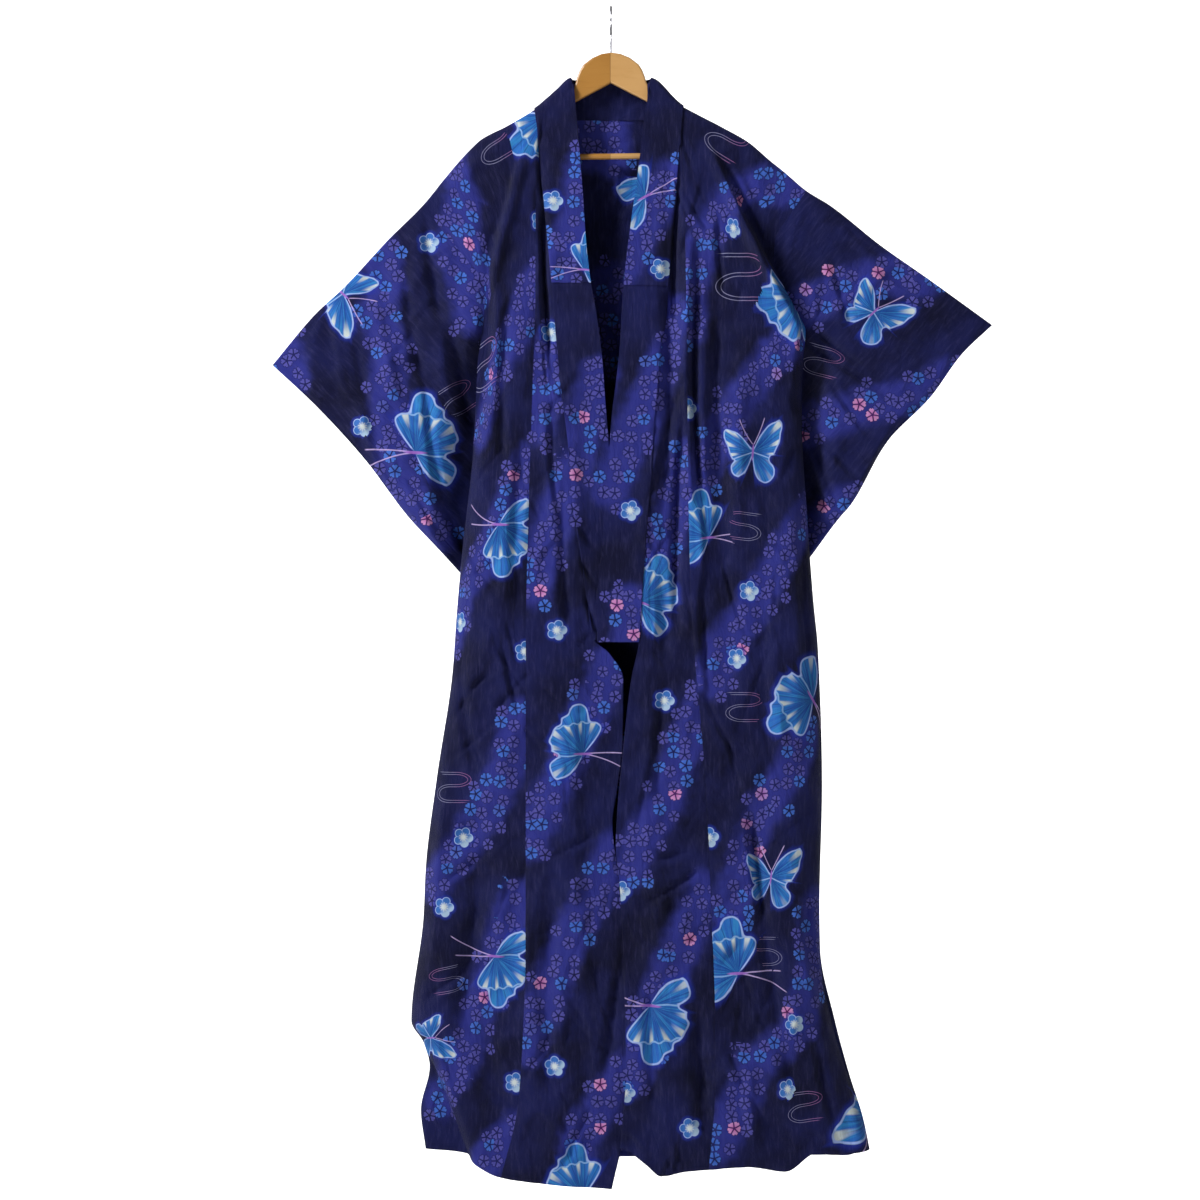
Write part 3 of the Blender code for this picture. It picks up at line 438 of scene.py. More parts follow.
def soft_folds(folds, x, drop):
    """Sum of the troughs and ridges that pass near each place."""
    total = np.zeros(np.broadcast(x, drop).shape)
    for row in folds:
        fold = dict(zip(FOLD_COLUMNS, row))
        along = (drop - fold["drop1"]) / (fold["drop2"] - fold["drop1"])
        middle = fold["x1"] + (fold["x2"] - fold["x1"]) * along
        fade = eased((along + 0.15) / 0.35) * eased((1.15 - along) / 0.3)
        total = total + LARGE_FOLDS * fold["high"] * fade * np.exp(-((x - middle) / fold["wide"]) ** 2)
    return total


LATTICE = 64


def lattice(seed):
    return np.random.default_rng(seed).random((LATTICE, LATTICE)) * 2.0 - 1.0


def mottle(x, z, size, seed):
    """Smooth noise from -1 to 1 with features of one size, the same on every run."""
    table = lattice(seed)
    u = np.asarray(x, dtype=float) / size + 1000.0
    v = np.asarray(z, dtype=float) / size + 1000.0
    i = np.floor(u).astype(int)
    j = np.floor(v).astype(int)
    s = eased(u - i)
    t = eased(v - j)
    i0, i1 = i % LATTICE, (i + 1) % LATTICE
    j0, j1 = j % LATTICE, (j + 1) % LATTICE
    upper = table[i0, j0] * (1 - s) + table[i1, j0] * s
    lower = table[i0, j1] * (1 - s) + table[i1, j1] * s
    return upper * (1 - t) + lower * t


# Families of crumples: their turn in radians, size, height and number.
CRUMPLES = ((0.35, 90.0, 4.6, 1), (0.2, 44.0, 3.0, 2), (-0.7, 27.0, 1.9, 3), (1.1, 15.0, 0.8, 4))


def crumple(x, drop, seed):
    """The fine crumples of washed cotton: thin soft ridges between flatter facets."""
    total = 0.0
    for turn, size, high, step in CRUMPLES:
        u = x * math.cos(turn) + drop * math.sin(turn)
        v = -x * math.sin(turn) + drop * math.cos(turn)
        wander = mottle(u, v, size * 1.7, seed + step)
        ridge = 1.0 - np.abs(mottle(u + 9.0 * wander, v * 0.75, size, seed + step + 10)) * 2.2
        total = total + high * np.maximum(ridge, -0.4)
    return total


# Creases that the eye finds first: both ends in the picture's pixels, half width and height.
CREASE_COLUMNS = ("x1", "y1", "x2", "y2", "wide", "high")
FRONT_CREASES = (
    (541, 195, 548, 376, 4.0, -7.0),
    (540, 118, 541, 205, 3.0, -4.0),
    (677, 170, 672, 335, 4.0, -6.0),
    (691, 240, 697, 540, 6.5, -12.0),
    (681, 400, 672, 645, 7.0, -10.0),
    (700, 420, 700, 620, 5.0, 4.0),
    (489, 236, 480, 336, 6.0, -9.0),
    (505, 300, 500, 470, 8.0, -5.0),
    (520, 430, 512, 620, 8.0, -4.5),
    (727, 175, 790, 300, 6.0, -9.0),
    (735, 150, 762, 215, 6.0, -5.0),
    (716, 300, 712, 480, 9.0, -6.0),
    (740, 330, 735, 560, 12.0, 5.0),
    (574, 523, 606, 562, 4.5, -4.5),
    (579, 560, 606, 602, 4.0, -4.0),
    (583, 592, 602, 645, 4.0, -3.5),
    (560, 480, 566, 640, 7.0, -5.0),
    (549, 400, 556, 520, 5.0, -4.0),
    (749, 815, 763, 925, 6.0, -7.0),
    (700, 690, 738, 765, 4.0, -3.0),
    (640, 862, 692, 850, 4.0, -3.5),
    (640, 905, 702, 868, 4.5, -4.0),
    (660, 690, 655, 800, 7.0, -5.0),
    (700, 560, 706, 700, 5.0, -5.0),
    (800, 500, 806, 700, 6.0, -4.0),
    (770, 600, 778, 760, 10.0, 4.0),
    (735, 640, 790, 610, 3.5, -2.5),
    (720, 560, 745, 640, 3.5, -3.0),
    (422, 1002, 474, 960, 5.0, -4.0),
    (440, 885, 505, 840, 4.0, -3.0),
    (474, 880, 462, 1050, 13.0, -8.0),
    (440, 780, 428, 960, 12.0, 5.0),
    (550, 880, 545, 1110, 14.0, -8.0),
    (580, 900, 590, 1060, 12.0, 5.0),
    (648, 980, 652, 1110, 11.0, -6.0),
    (694, 990, 704, 1140, 12.0, -8.0),
    (764, 930, 792, 1110, 12.0, -6.0),
    (800, 880, 822, 1010, 8.0, -5.0),
    (722, 1040, 764, 1124, 5.0, -3.5),
    (520, 1084, 564, 1010, 4.0, -3.0),
    (592, 1100, 560, 1166, 5.0, -3.5),
    (620, 950, 602, 1090, 8.0, -5.0),
    (470, 1070, 520, 1110, 5.0, -3.0),
    (812, 1040, 834, 1130, 7.0, -5.0),
    (745, 1060, 752, 1150, 7.0, 4.0),
    (690, 1120, 740, 1150, 5.0, -3.0),
    (455, 640, 475, 780, 8.0, -4.0),
    (500, 640, 520, 720, 4.0, -3.0),
    (470, 690, 508, 660, 3.5, -2.5),
    (450, 760, 500, 720, 3.5, -2.5),
    (540, 690, 590, 720, 4.0, -3.0),
    (545, 860, 600, 830, 4.0, -3.0),
    (640, 1010, 690, 1040, 4.0, -3.0),
    (470, 560, 500, 600, 3.5, -2.5),
    (760, 400, 790, 430, 3.0, -2.0),
    (716, 215, 722, 300, 5.0, -4.0),
)
BACK_CREASES = (
    (500, 160, 490, 330, 8.0, -5.0),
    (560, 200, 556, 520, 7.0, -6.0),
    (655, 210, 662, 560, 7.0, -6.0),
    (735, 170, 760, 330, 8.0, -5.0),
    (610, 420, 606, 900, 10.0, -7.0),
    (500, 500, 480, 820, 10.0, -6.0),
    (720, 480, 740, 860, 10.0, -6.0),
    (450, 800, 440, 1100, 12.0, -7.0),
    (560, 820, 552, 1120, 11.0, -7.0),
    (670, 820, 684, 1120, 11.0, -7.0),
    (780, 800, 812, 1100, 12.0, -7.0),
    (480, 620, 540, 560, 4.0, -3.0),
    (700, 600, 770, 540, 4.0, -3.0),
    (520, 980, 590, 920, 4.5, -3.5),
    (640, 1000, 720, 930, 4.5, -3.5),
    (620, 340, 680, 300, 4.0, -3.0),
    (520, 330, 580, 380, 4.0, -3.0),
)
SLEEVE_CREASES = (
    (422, 212, 442, 335, 8.0, -5.0),
    (400, 256, 424, 404, 7.0, -4.5),
    (372, 300, 402, 424, 8.0, 4.0),
    (350, 330, 384, 474, 6.0, -3.5),
    (447, 325, 472, 440, 9.0, -7.0),
    (422, 380, 444, 525, 6.0, -5.0),
    (402, 470, 444, 542, 4.0, -3.0),
    (330, 296, 347, 404, 6.0, 3.0),
    (440, 500, 474, 570, 5.0, -4.0),
    (840, 222, 888, 262, 5.0, -4.5),
    (808, 326, 866, 372, 4.5, -5.0),
    (808, 345, 888, 398, 4.5, -4.5),
    (810, 430, 862, 484, 5.0, -4.0),
    (812, 436, 842, 524, 6.0, -6.0),
    (870, 268, 934, 302, 4.0, -3.0),
    (880, 328, 944, 352, 5.0, -3.0),
    (830, 256, 852, 334, 6.0, -4.0),
    (808, 478, 834, 516, 5.0, -6.0),
    (826, 380, 870, 440, 4.0, -3.5),
)
FINE_CREASES = {
    "count": 300, "x": (-480.0, 540.0), "drop": (160.0, 1730.0),
    "length": (35.0, 160.0), "wide": (2.2, 4.6), "high": (1.0, 3.4),
}


def fine_creases(seed):
    """Small creases between the placed ones: mostly steep, some slanting."""
    chance = np.random.default_rng(seed)
    rows = []
    for k in range(FINE_CREASES["count"]):
        x = chance.uniform(*FINE_CREASES["x"])
        drop = chance.uniform(*FINE_CREASES["drop"])
        turn = chance.choice((-1.0, 1.0)) * chance.beta(1.6, 2.2) * 1.25 + math.pi / 2
        length = chance.uniform(*FINE_CREASES["length"])
        wide = chance.uniform(*FINE_CREASES["wide"])
        high = -chance.uniform(*FINE_CREASES["high"])
        rows.append((x, drop, x + length * math.cos(turn), drop + length * math.sin(turn), wide, high))
    return rows


def crease(x, drop, x1, drop1, x2, drop2, wide, high):
    """One soft crease with a raised lip, which fades out at both ends."""
    dx = x2 - x1
    dz = drop2 - drop1
    length = math.hypot(dx, dz)
    along = ((x - x1) * dx + (drop - drop1) * dz) / length ** 2
    across = (-(x - x1) * dz + (drop - drop1) * dx) / length
    across = across + 0.10 * length * (along - 0.5) ** 2
    fade = eased(along / 0.35 + 0.2) * eased((1.0 - along) / 0.35 + 0.2)
    lip = 0.45 * np.exp(-((across - 1.9 * wide) / (1.3 * wide)) ** 2)
    return high * fade * (np.exp(-(across / wide) ** 2) - lip)


def creases(rows, x, drop, seed):
    """The placed creases and the fine ones between them."""
    total = np.zeros(np.broadcast(x, drop).shape)
    for row in rows:
        c = dict(zip(CREASE_COLUMNS, row))
        x1, drop1 = seen((c["x1"], c["y1"]))
        x2, drop2 = seen((c["x2"], c["y2"]))
        high = PRESSED_CREASES * c["high"]
        total = total + crease(x, drop, x1, drop1, x2, drop2, c["wide"], high)
    for row in fine_creases(seed):
        total = total + crease(x, drop, *row)
    return total


def closed_side(drop):
    """One where front and back are sewn together at the side."""
    return eased((drop - SIDE_SEAM_TOP) / SIDE_SEAM_FADE + 0.5)


def neck_seam_drop(side, out):
    """The seam behind the neck, from the middle out to the shoulder line."""
    neck = SEAM_AT_NECK[side] + SEAM_GAP / 2
    shares = NECK_SEAM["share"] + (1.0,)
    drops = NECK_SEAM["drop"] + (float(crest(neck * SIDES[side])),)
    return smooth(out / neck, shares, drops)


def round_crown(x):
    """The collar passes in front of the crown and behind it."""
    return CROWN_CLEAR * eased((CROWN_SIDE - np.abs(x)) / CROWN_FADE)


def settled(x, drop):
    """Zero on the shoulder fold and one where the cloth has left it."""
    return eased((drop - crest(x)) / SETTLE)


def neck_bow(x, drop):
    """The collar stands off the hanger behind the neck."""
    bow = NECK_BOW["high"] * (1.0 - eased(np.abs(x) / NECK_BOW["out_fade"]))
    bow = bow * (1.0 - eased((drop - NECK_BOW["drop"]) / NECK_BOW["drop_fade"]))
    return bow * eased((drop - crest(x)) / NECK_BOW["top_fade"])


def calm(x, drop, edge):
    """Crumples die out at the shoulder fold and at the side."""
    return eased((drop - crest(x)) / CALM["below_fold"]) * eased(edge / CALM["from_side"])


def front_depth(side, x, drop, press=1.0):
    """Distance of the front cloth from the hanger's plane."""
    out = x * SIDES[side]
    fold = FRONT_FOLD[side]
    roll = read(fold, drop, "roll")
    edge = read(SIDE_EDGE[side], drop) - out
    inside = np.minimum(read(fold, drop) - out, edge)
    lift = read(FULLNESS, drop, "front") + soft_folds(FRONT_FOLDS, x, drop)
    ridge = np.exp(-((inside - RIDGE_INSIDE) / RIDGE_WIDE) ** 2)
    lift = lift + read(FOLD_RIDGE[side], drop, "high") * ridge
    lift = lift * settled(x, drop)
    base = np.maximum(over_fold(x, drop), round_crown(x))
    full = base + lift
    free = base + lift * eased(inside / roll)
    turned = np.minimum(base, FOLD_FREE) * quarter(edge / SIDE_TURN)
    sewn = turned + (full - turned) * quarter(inside / roll)
    closed = closed_side(drop) * (out > 0.0)
    depth = free + (sewn - free) * closed
    if side == "right":
        across = eased((x - UNDERLAP["x"]) / UNDERLAP["x_fade"])
        down = eased((drop - UNDERLAP["drop"]) / UNDERLAP["drop_fade"])
        depth = depth - UNDERLAP["deep"] * across * down
    fine = crumple(x, drop, 3) + creases(FRONT_CREASES, x, drop, 11)
    return np.maximum(depth + fine * calm(x, drop, edge) * press, np.minimum(depth, base))


def back_depth(side, x, drop, press=1.0):
    """Distance of the back cloth from the hanger's plane."""
    edge = read(SIDE_EDGE[side], drop) - x * SIDES[side]
    lift = read(FULLNESS, drop, "back") + soft_folds(BACK_FOLDS, x, drop)
    lift = lift * settled(x, drop) + neck_bow(x, drop)
    base = np.maximum(over_fold(x, drop), round_crown(x))
    free = base + lift * eased(edge / BACK_ROLL)
    sewn = (base + lift) * quarter(edge / BACK_ROLL)
    depth = free + (sewn - free) * closed_side(drop)
    fine = crumple(x, drop, 40) + creases(BACK_CREASES, x, drop, 12)
    return np.maximum(depth + fine * calm(x, drop, edge) * press, np.minimum(depth, base))


def front_place(side, x, drop, press=1.0):
    return np.stack((x, -front_depth(side, x, drop, press), -drop), axis=-1)


def back_place(side, x, drop, press=1.0):
    return np.stack((x, back_depth(side, x, drop, press), -drop), axis=-1)


def spaced(length, first, last, step=GRID):
    """Distances from 0 to a length: close together at its ends and even between."""
    inner = np.linspace(first[-1], length - last[-1], max(3, round(length / step)))
    return np.array([0.0, *first[:-1], *inner, *sorted(length - d for d in (0.0, *last[:-1]))])


# Distances of the cloth's first points from a seam, a top fold, a side fold and an end.
SEAM_STEPS = (0.9, 2.2, 4.5)
FOLD_STEPS = (0.15, 0.6, 1.3, 2.4, 3.8, 5.6, 7.6, 10.0, 13.0)
SIDE_STEPS = (0.1, 0.4, 1.0, 1.9, 3.1, 4.6, 6.4)
CUFF_STEPS = (0.2, 0.8, 1.8, 3.2, 5.0, 7.5, 10.5)
END_STEPS = (1.0, 3.0)
# Usual length and width of the pieces, and how closely their points lie.
BODY_GRID = {"long": 1570.0, "down": 5.6, "wide": 165.0, "across": 2.85, "behind_neck": 3.6}
OKUMI_GRID = {"wide": 125.0, "across": 2.8}
COLLAR_GRID = {"wide": 64.0, "across": 4.0, "down": 4.0}
SLEEVE_GRID = {"wide": 340.0, "across": 4.6, "long": 500.0, "down": 4.8}


def grid(place, uv):
    return {"place": place, "uv": uv}


def lengths(points, axis):
    """Distance along a grid's rows or columns, from its first point."""
    steps = np.linalg.norm(np.diff(points, axis=axis), axis=-1)
    start = np.zeros_like(np.take(steps, [0], axis=axis))
    return np.concatenate((start, np.cumsum(steps, axis=axis)), axis=axis)


def body_levels():
    return spaced(BODY_GRID["long"], FOLD_STEPS, END_STEPS, BODY_GRID["down"]) / BODY_GRID["long"]


def body_columns():
    return spaced(BODY_GRID["wide"], SEAM_STEPS, SIDE_STEPS, BODY_GRID["across"]) / BODY_GRID["wide"]


def knot(table, level):
    """(out, drop) on an edge that runs from shoulder to hem."""
    drop = table["drop"][0] + level * (table["drop"][-1] - table["drop"][0])
    return read(table, drop), drop


def side_knot(side, level):
    out, drop = knot(SIDE_EDGE[side], level)
    return out - SEAM_GAP / 2 * (drop <= ARMHOLE_END), drop


def seam_dip(distance):
    """The cloth sinks into a seam."""
    return -SEAM_DIP["deep"] * np.exp(-(distance / SEAM_DIP["reach"]) ** 2)


def hem_relief(distance):
    """The line of stitches above a turned hem."""
    return -STITCH_DIP["deep"] * np.exp(-((distance - HEM_FOLD) / STITCH_DIP["reach"]) ** 2)


def body_front(side):
    """The front from the collar and okumi seam out to the side."""
    sign = SIDES[side]
    level = body_levels()[:, None]
    share = body_columns()[None, :]
    seam = FRONT_SEAM[side]
    edge = SIDE_EDGE[side]
    inner, inner_drop = knot(seam, level)
    inner = inner + SEAM_GAP / 2
    outer, outer_drop = side_knot(side, level)
    out = inner + (outer - inner) * share
    start = seam["out"][0] + share * (edge["out"][0] - seam["out"][0])
    finish = seam["out"][-1] + share * (edge["out"][-1] - seam["out"][-1])
    shoulder_bend = crest(start * sign) - (seam["drop"][0] + (edge["drop"][0] - seam["drop"][0]) * share)
    hem = read(FRONT_HEM[side], finish, "drop", "out")
    hem_bend = hem - (seam["drop"][-1] + (edge["drop"][-1] - seam["drop"][-1]) * share)
    drop = inner_drop + (outer_drop - inner_drop) * share
    drop = drop + shoulder_bend * (1.0 - level) + hem_bend * level
    drop = np.where(level == 0.0, crest(out * sign), drop)
    points = front_place(side, out * sign, drop)
    fade = settled(out * sign, drop)
    relief = seam_dip(out - inner) * fade + hem_relief(hem - drop) * eased((outer - out) / 9.0)
    points[..., 1] -= relief
    even = front_place(side, out * sign, drop, 0.0)
    across = lengths(even, 1) + inner
    return grid(points, np.stack((across * sign, -drop), axis=-1))


def body_back(side):
    """The back from the centre seam out, with the columns of the front past the neck."""
    sign = SIDES[side]
    level = body_levels()[:, None]
    neck = SEAM_AT_NECK[side] + SEAM_GAP / 2
    side_top = SIDE_EDGE[side]["out"][0]
    side_hem = SIDE_EDGE[side]["out"][-1]
    behind = spaced(neck, SEAM_STEPS, (2.0, 4.0), BODY_GRID["behind_neck"])[:-1]
    start = np.concatenate((behind, neck + (side_top - SEAM_GAP / 2 - neck) * body_columns()))[None, :]
    outer, outer_drop = side_knot(side, level)
    share = start / start[0, -1]
    out = SEAM_GAP / 2 + (outer - SEAM_GAP / 2) * share
    out = np.where(level == 0.0, np.maximum(start, SEAM_GAP / 2), out)
    top = np.where(start < neck, neck_seam_drop(side, start) + SEAM_GAP, crest(start * sign))
    hem = read(BACK_HEM[side], side_hem * share, "drop", "out")
    drop = top + (hem - top) * level
    drop = np.where(share == 1.0, outer_drop, drop)
    drop = np.where((level == 0.0) & (start >= neck), crest(out * sign), drop)
    points = back_place(side, out * sign, drop)
    relief = seam_dip(out) + seam_dip(drop - top) * (start < neck)
    relief = relief * np.where(start < neck, 1.0, settled(out * sign, drop))
    relief = relief + hem_relief(hem - drop) * eased((outer - out) / 9.0)
    points[..., 1] += relief
    even = back_place(side, out * sign, drop, 0.0)
    return grid(points, np.stack((lengths(even, 1) * sign, drop), axis=-1))


def okumi(side):
    """The overlap strip between the front's seam and the collar or the free front edge."""
    sign = SIDES[side]
    tip = OKUMI_TIP[side]
    seam_end = FRONT_SEAM[side]["drop"][-1]
    edge_end = COLLAR_SEAM[side]["drop"][-1]
    level = spaced(seam_end - tip, SEAM_STEPS, END_STEPS)[:, None] / (seam_end - tip)
    share = spaced(OKUMI_GRID["wide"], SEAM_STEPS, SEAM_STEPS, OKUMI_GRID["across"])[None, :]
    share = share / OKUMI_GRID["wide"]
    outer_drop = tip + (seam_end - tip) * level
    inner_drop = tip + (edge_end - tip) * level
    outer = read(FRONT_SEAM[side], outer_drop) - SEAM_GAP / 2
    inner = read(COLLAR_SEAM[side], inner_drop) + SEAM_GAP / 2
    inner = np.minimum(inner, outer - 0.5)
    out = inner + (outer - inner) * share
    drop = inner_drop + (outer_drop - inner_drop) * share
    hem = read(FRONT_HEM[side], out[-1:], "drop", "out")
    drop = drop + (hem - (edge_end + (seam_end - edge_end) * share)) * level
    points = front_place(side, out * sign, drop)
    by_collar = drop < COLLAR_END[side]
    wide = eased((outer - inner) / 20.0)
    relief = seam_dip(outer - out) * wide + seam_dip(out - inner) * by_collar * wide
    relief = relief + hem_relief(hem - drop)
    relief = relief + hem_relief(out - inner + 6.0) * (1 - by_collar)
    points[..., 1] -= relief
    return grid(points, np.stack((out * sign, -drop), axis=-1))


def collar_rows(side, end):
    """Seam and free edge of a collar leg, from the shoulder line down."""
    top = COLLAR_SEAM[side]["drop"][0]
    edge_top = COLLAR_EDGE[side]["drop"][0]
    seam_drop = top + spaced(end - top, FOLD_STEPS, (0.8, 2.0), COLLAR_GRID["down"])
    edge_drop = edge_top + (end - edge_top) * (seam_drop - top) / (end - top)
    seam_out = np.where(seam_drop < OKUMI_TIP[side], read(FRONT_SEAM[side], seam_drop),
                        read(COLLAR_SEAM[side], seam_drop)) - SEAM_GAP / 2
    return seam_out, seam_drop, read(COLLAR_EDGE[side], edge_drop), edge_drop


def neck_rows(side):
    """Seam and free edge behind the neck, from the shoulder line to the middle."""
    neck = SEAM_AT_NECK[side] + SEAM_GAP / 2
    share = 1.0 - spaced(neck, (0.5, 1.5, 3.0, 5.0), (2.0, 4.0), COLLAR_GRID["down"])[1:] / neck
    seam_out = neck * share
    seam_drop = neck_seam_drop(side, seam_out)
    edge_drop = read(NECK_EDGE, share, "drop", "share")
    return seam_out, seam_drop, COLLAR_EDGE[side]["out"][0] * share, edge_drop


def collar_side(side, ends, columns):
    """Half of the collar's middle surface, from the end of its leg to the middle behind."""
    sign = SIDES[side]
    parts = []
    for front, rows in ((True, collar_rows(side, ends[side])), (False, neck_rows(side))):
        seam_out, seam_drop, edge_out, edge_drop = (values[:, None] for values in rows)
        x = (seam_out + (edge_out - seam_out) * columns) * sign
        drop = seam_drop + (edge_drop - seam_drop) * columns
        if front:
            drop[0] = crest(x[0])
            press = 1.0 - 0.72 * eased(columns * 3.0)
            parts.append(front_place(side, x, drop, press)[::-1])
        else:
            parts.append(back_place(side, x, drop))
    return np.concatenate(parts, axis=0)


def collar(ends):
    """The collar's middle surface from one end to the other."""
    columns = spaced(COLLAR_GRID["wide"], SEAM_STEPS, (0.25, 0.7, 1.4, 2.4), COLLAR_GRID["across"])
    columns = columns[None, :] / COLLAR_GRID["wide"]
    right = collar_side("right", ends, columns)
    left = collar_side("left", ends, columns)[::-1]
    points = np.concatenate((right, left[1:]), axis=0)
    down = np.where(points[..., 1] > 0.0, 1.0, -1.0) * -points[..., 2]
    return grid(points, np.stack((points[..., 0], down), axis=-1))


def path_point(points, share):
    """Places along a chain of points, by its length."""
    points = np.array(points, dtype=float)
    chain = lengths(points, 0)
    at = np.asarray(share) * chain[-1]
    return np.stack([smooth(at, chain, points[:, k]) for k in (0, 1)], axis=-1)


def sleeve_edges(side):
    """The sleeve's four edges as chains of (out, drop)."""
    sign = SIDES[side]
    body = SIDE_EDGE[side]
    start = body["out"][0] + SEAM_GAP / 2
    outs = np.linspace(start, SHOULDER[side]["out"][-1], 60)
    top = list(zip(outs, crest(outs * sign)))
    drops = np.linspace(body["drop"][0], ARMHOLE_END, 40)[1:]
    inner = [top[0]] + list(zip(read(body, drops) + SEAM_GAP / 2, drops))
    free = SLEEVE_FREE_EDGE[side]
    inner += list(zip(free["out"][1:], free["drop"][1:]))
    cuff = list(zip(CUFF[side]["out"], CUFF[side]["drop"]))
    cuff[0] = top[-1]
    return top, inner, cuff, [inner[-1], cuff[-1]]


def sleeve_layer(side, front):
    """One layer of the sleeve: u from armhole to cuff, v from top to bottom."""
    top, inner, cuff, bottom = sleeve_edges(side)
    sign = SIDES[side]
    u = spaced(SLEEVE_GRID["wide"], SEAM_STEPS, CUFF_STEPS, SLEEVE_GRID["across"])[None, :]
    u = u / SLEEVE_GRID["wide"]
    v = spaced(SLEEVE_GRID["long"], FOLD_STEPS, CUFF_STEPS, SLEEVE_GRID["down"])[:, None]
    v = v / SLEEVE_GRID["long"]
    place = (1 - v)[..., None] * path_point(top, u) + v[..., None] * path_point(bottom, u)
    place = place + (1 - u)[..., None] * path_point(inner, v) + u[..., None] * path_point(cuff, v)
    uv = (u * np.ones_like(v))[..., None]
    vv = (v * np.ones_like(u))[..., None]
    corners = (1 - uv) * (1 - vv) * np.array(top[0]) + uv * (1 - vv) * np.array(top[-1])
    corners = corners + (1 - uv) * vv * np.array(bottom[0]) + uv * vv * np.array(bottom[-1])
    place = place - corners
    x = place[..., 0] * sign
    drop = place[..., 1]
    drop[0] = crest(x[0])
    body_edge = read(SIDE_EDGE[side], drop)
    tucked = eased((drop - SLEEVE_TUCK["drop"]) / SLEEVE_TUCK["drop_fade"])
    tucked = tucked * eased((body_edge + SLEEVE_TUCK["past_side"] - x * sign) / SLEEVE_TUCK["fade"])
    thick = over_fold(x, drop)
    puff = SLEEVE_PUFF["high"] * np.sin(np.pi * np.minimum(u, 0.5 + u / 2))
    thick = thick + puff * eased(v / SLEEVE_PUFF["top_fade"]) * (1.0 - tucked)
    thick = thick * quarter((1.0 - v) / CLOSED_END)
    cuff_closed = eased((v - CUFF_OPEN) / 0.02)
    thick = thick * (1.0 - cuff_closed * (1.0 - quarter((1.0 - u) / CLOSED_END)))
    ripple = soft_folds(SLEEVE_FOLDS, x, drop) * eased(v / 0.2) * eased(u / 0.2)
    slack = SLEEVE_SLACK["high"] * np.sin(u * SLEEVE_SLACK["waves"])
    ripple = ripple + slack * eased((v - 0.5) / 0.5) * (1.0 - u)
    fine = crumple(x, drop, 70 if front else 90)
    fine = fine * eased((drop - crest(x)) / CALM["below_fold"]) * eased(u / 0.07) * eased((1 - v) / 0.06)
    fine = fine * eased((1 - u) / 0.04)
    shared = creases(SLEEVE_CREASES, x, drop, 13) * eased(v / 0.05) * eased(u / 0.05)
    middle = SLEEVE_TUCK["deep"] * tucked - ripple - shared
    half = np.maximum(thick + fine * np.minimum(1.0, thick / 4.0), 0.0)
    y = middle - half if front else middle + half
    y = np.where(v == 0.0, middle, y)
    points = np.stack((x, y, -drop), axis=-1)
    grain = np.array(cuff[-1]) - np.array(cuff[0])
    grain = grain / np.linalg.norm(grain)
    away = np.stack((x * sign - top[0][0], drop - top[0][1]), axis=-1)
    across = away @ np.array((grain[1], -grain[0]))
    down = away @ grain
    return grid(points, np.stack((across * sign, -down if front else down), axis=-1))


NEAR_ROWS = 6
NEAR_COLUMNS = 4
OTHER_LEG = 160.0       # a path's next spot found farther off than this is on another leg


def on_cloth(layer, spot):
    """Cloth coordinates of a spot in the picture, also a little way past the cloth's edge."""
    place = layer["place"]
    away = np.hypot(place[..., 0] - spot[0], -place[..., 2] - spot[1])
    row, column = np.unravel_index(np.argmin(away), away.shape)
    rows, columns = away.shape
    row = min(max(row, NEAR_ROWS), rows - NEAR_ROWS - 1)
    column = min(max(column, NEAR_COLUMNS), columns - NEAR_COLUMNS - 1)
    near = (
        slice(row - NEAR_ROWS, row + NEAR_ROWS + 1),
        slice(column - NEAR_COLUMNS, column + NEAR_COLUMNS + 1),
    )
    xz = np.stack((place[near][..., 0].ravel(), -place[near][..., 2].ravel()), axis=1)
    uv = layer["uv"][near].reshape(-1, 2)
    fit = np.concatenate((xz - xz.mean(axis=0), np.ones((len(xz), 1))), axis=1)
    turn = np.linalg.lstsq(fit, uv, rcond=None)[0]
    offset = np.append(np.asarray(spot) - xz.mean(axis=0), 1.0)
    return offset @ turn


def on_path(layer, path):
    """A band's middle line on the cloth, without spots that lie nearest another leg."""
    found = []
    for spot in path:
        place = on_cloth(layer, seen(spot))
        if not found or np.linalg.norm(place - found[-1]) < OTHER_LEG:
            found.append(place)
    return np.array(found)


HIDDEN_BANDS = {"count": 10, "slope": 1.9, "lower_slope": 1.75, "lower_from": 200.0,
                "reach": 700.0}
BESIDE_NECK = {"out": 110.0, "drop": 480.0}


def repeat_bands(first):
    """Straight bands that cross a hidden piece by the cloth's repeat, clear of the neck."""
    reach = HIDDEN_BANDS["reach"]
    lower = first >= HIDDEN_BANDS["lower_from"]
    slope = HIDDEN_BANDS["lower_slope" if lower else "slope"]
    bands = []
    for k in range(HIDDEN_BANDS["count"]):
        middle = first + k * REPEAT[1] / 2
        parts = ((-reach, reach),)
        if 0.0 < middle < BESIDE_NECK["drop"]:
            parts = ((-reach, -BESIDE_NECK["out"]), (BESIDE_NECK["out"], reach))
        for start, end in parts:
            bands.append(np.array(((start, middle + start * slope), (end, middle + end * slope))))
    return bands


# The motifs of one repeat on the hidden pieces: kind, place across and down, and turn.
HIDDEN_MOTIFS = (
    ("open", 120, 90, 70), ("side", 60, 250, 250), ("side", 250, 420, 120),
    ("flower", 210, 200, 40), ("flower", 60, 560, 10), ("flower", 300, 330, 160),
    ("water", 180, 330, 10), ("water", 70, 30, 20),
)
MOTIF_SIZE = {"open": 62.0, "side": 72.0, "flower": FLOWER_RADIUS, "water": 46.0}


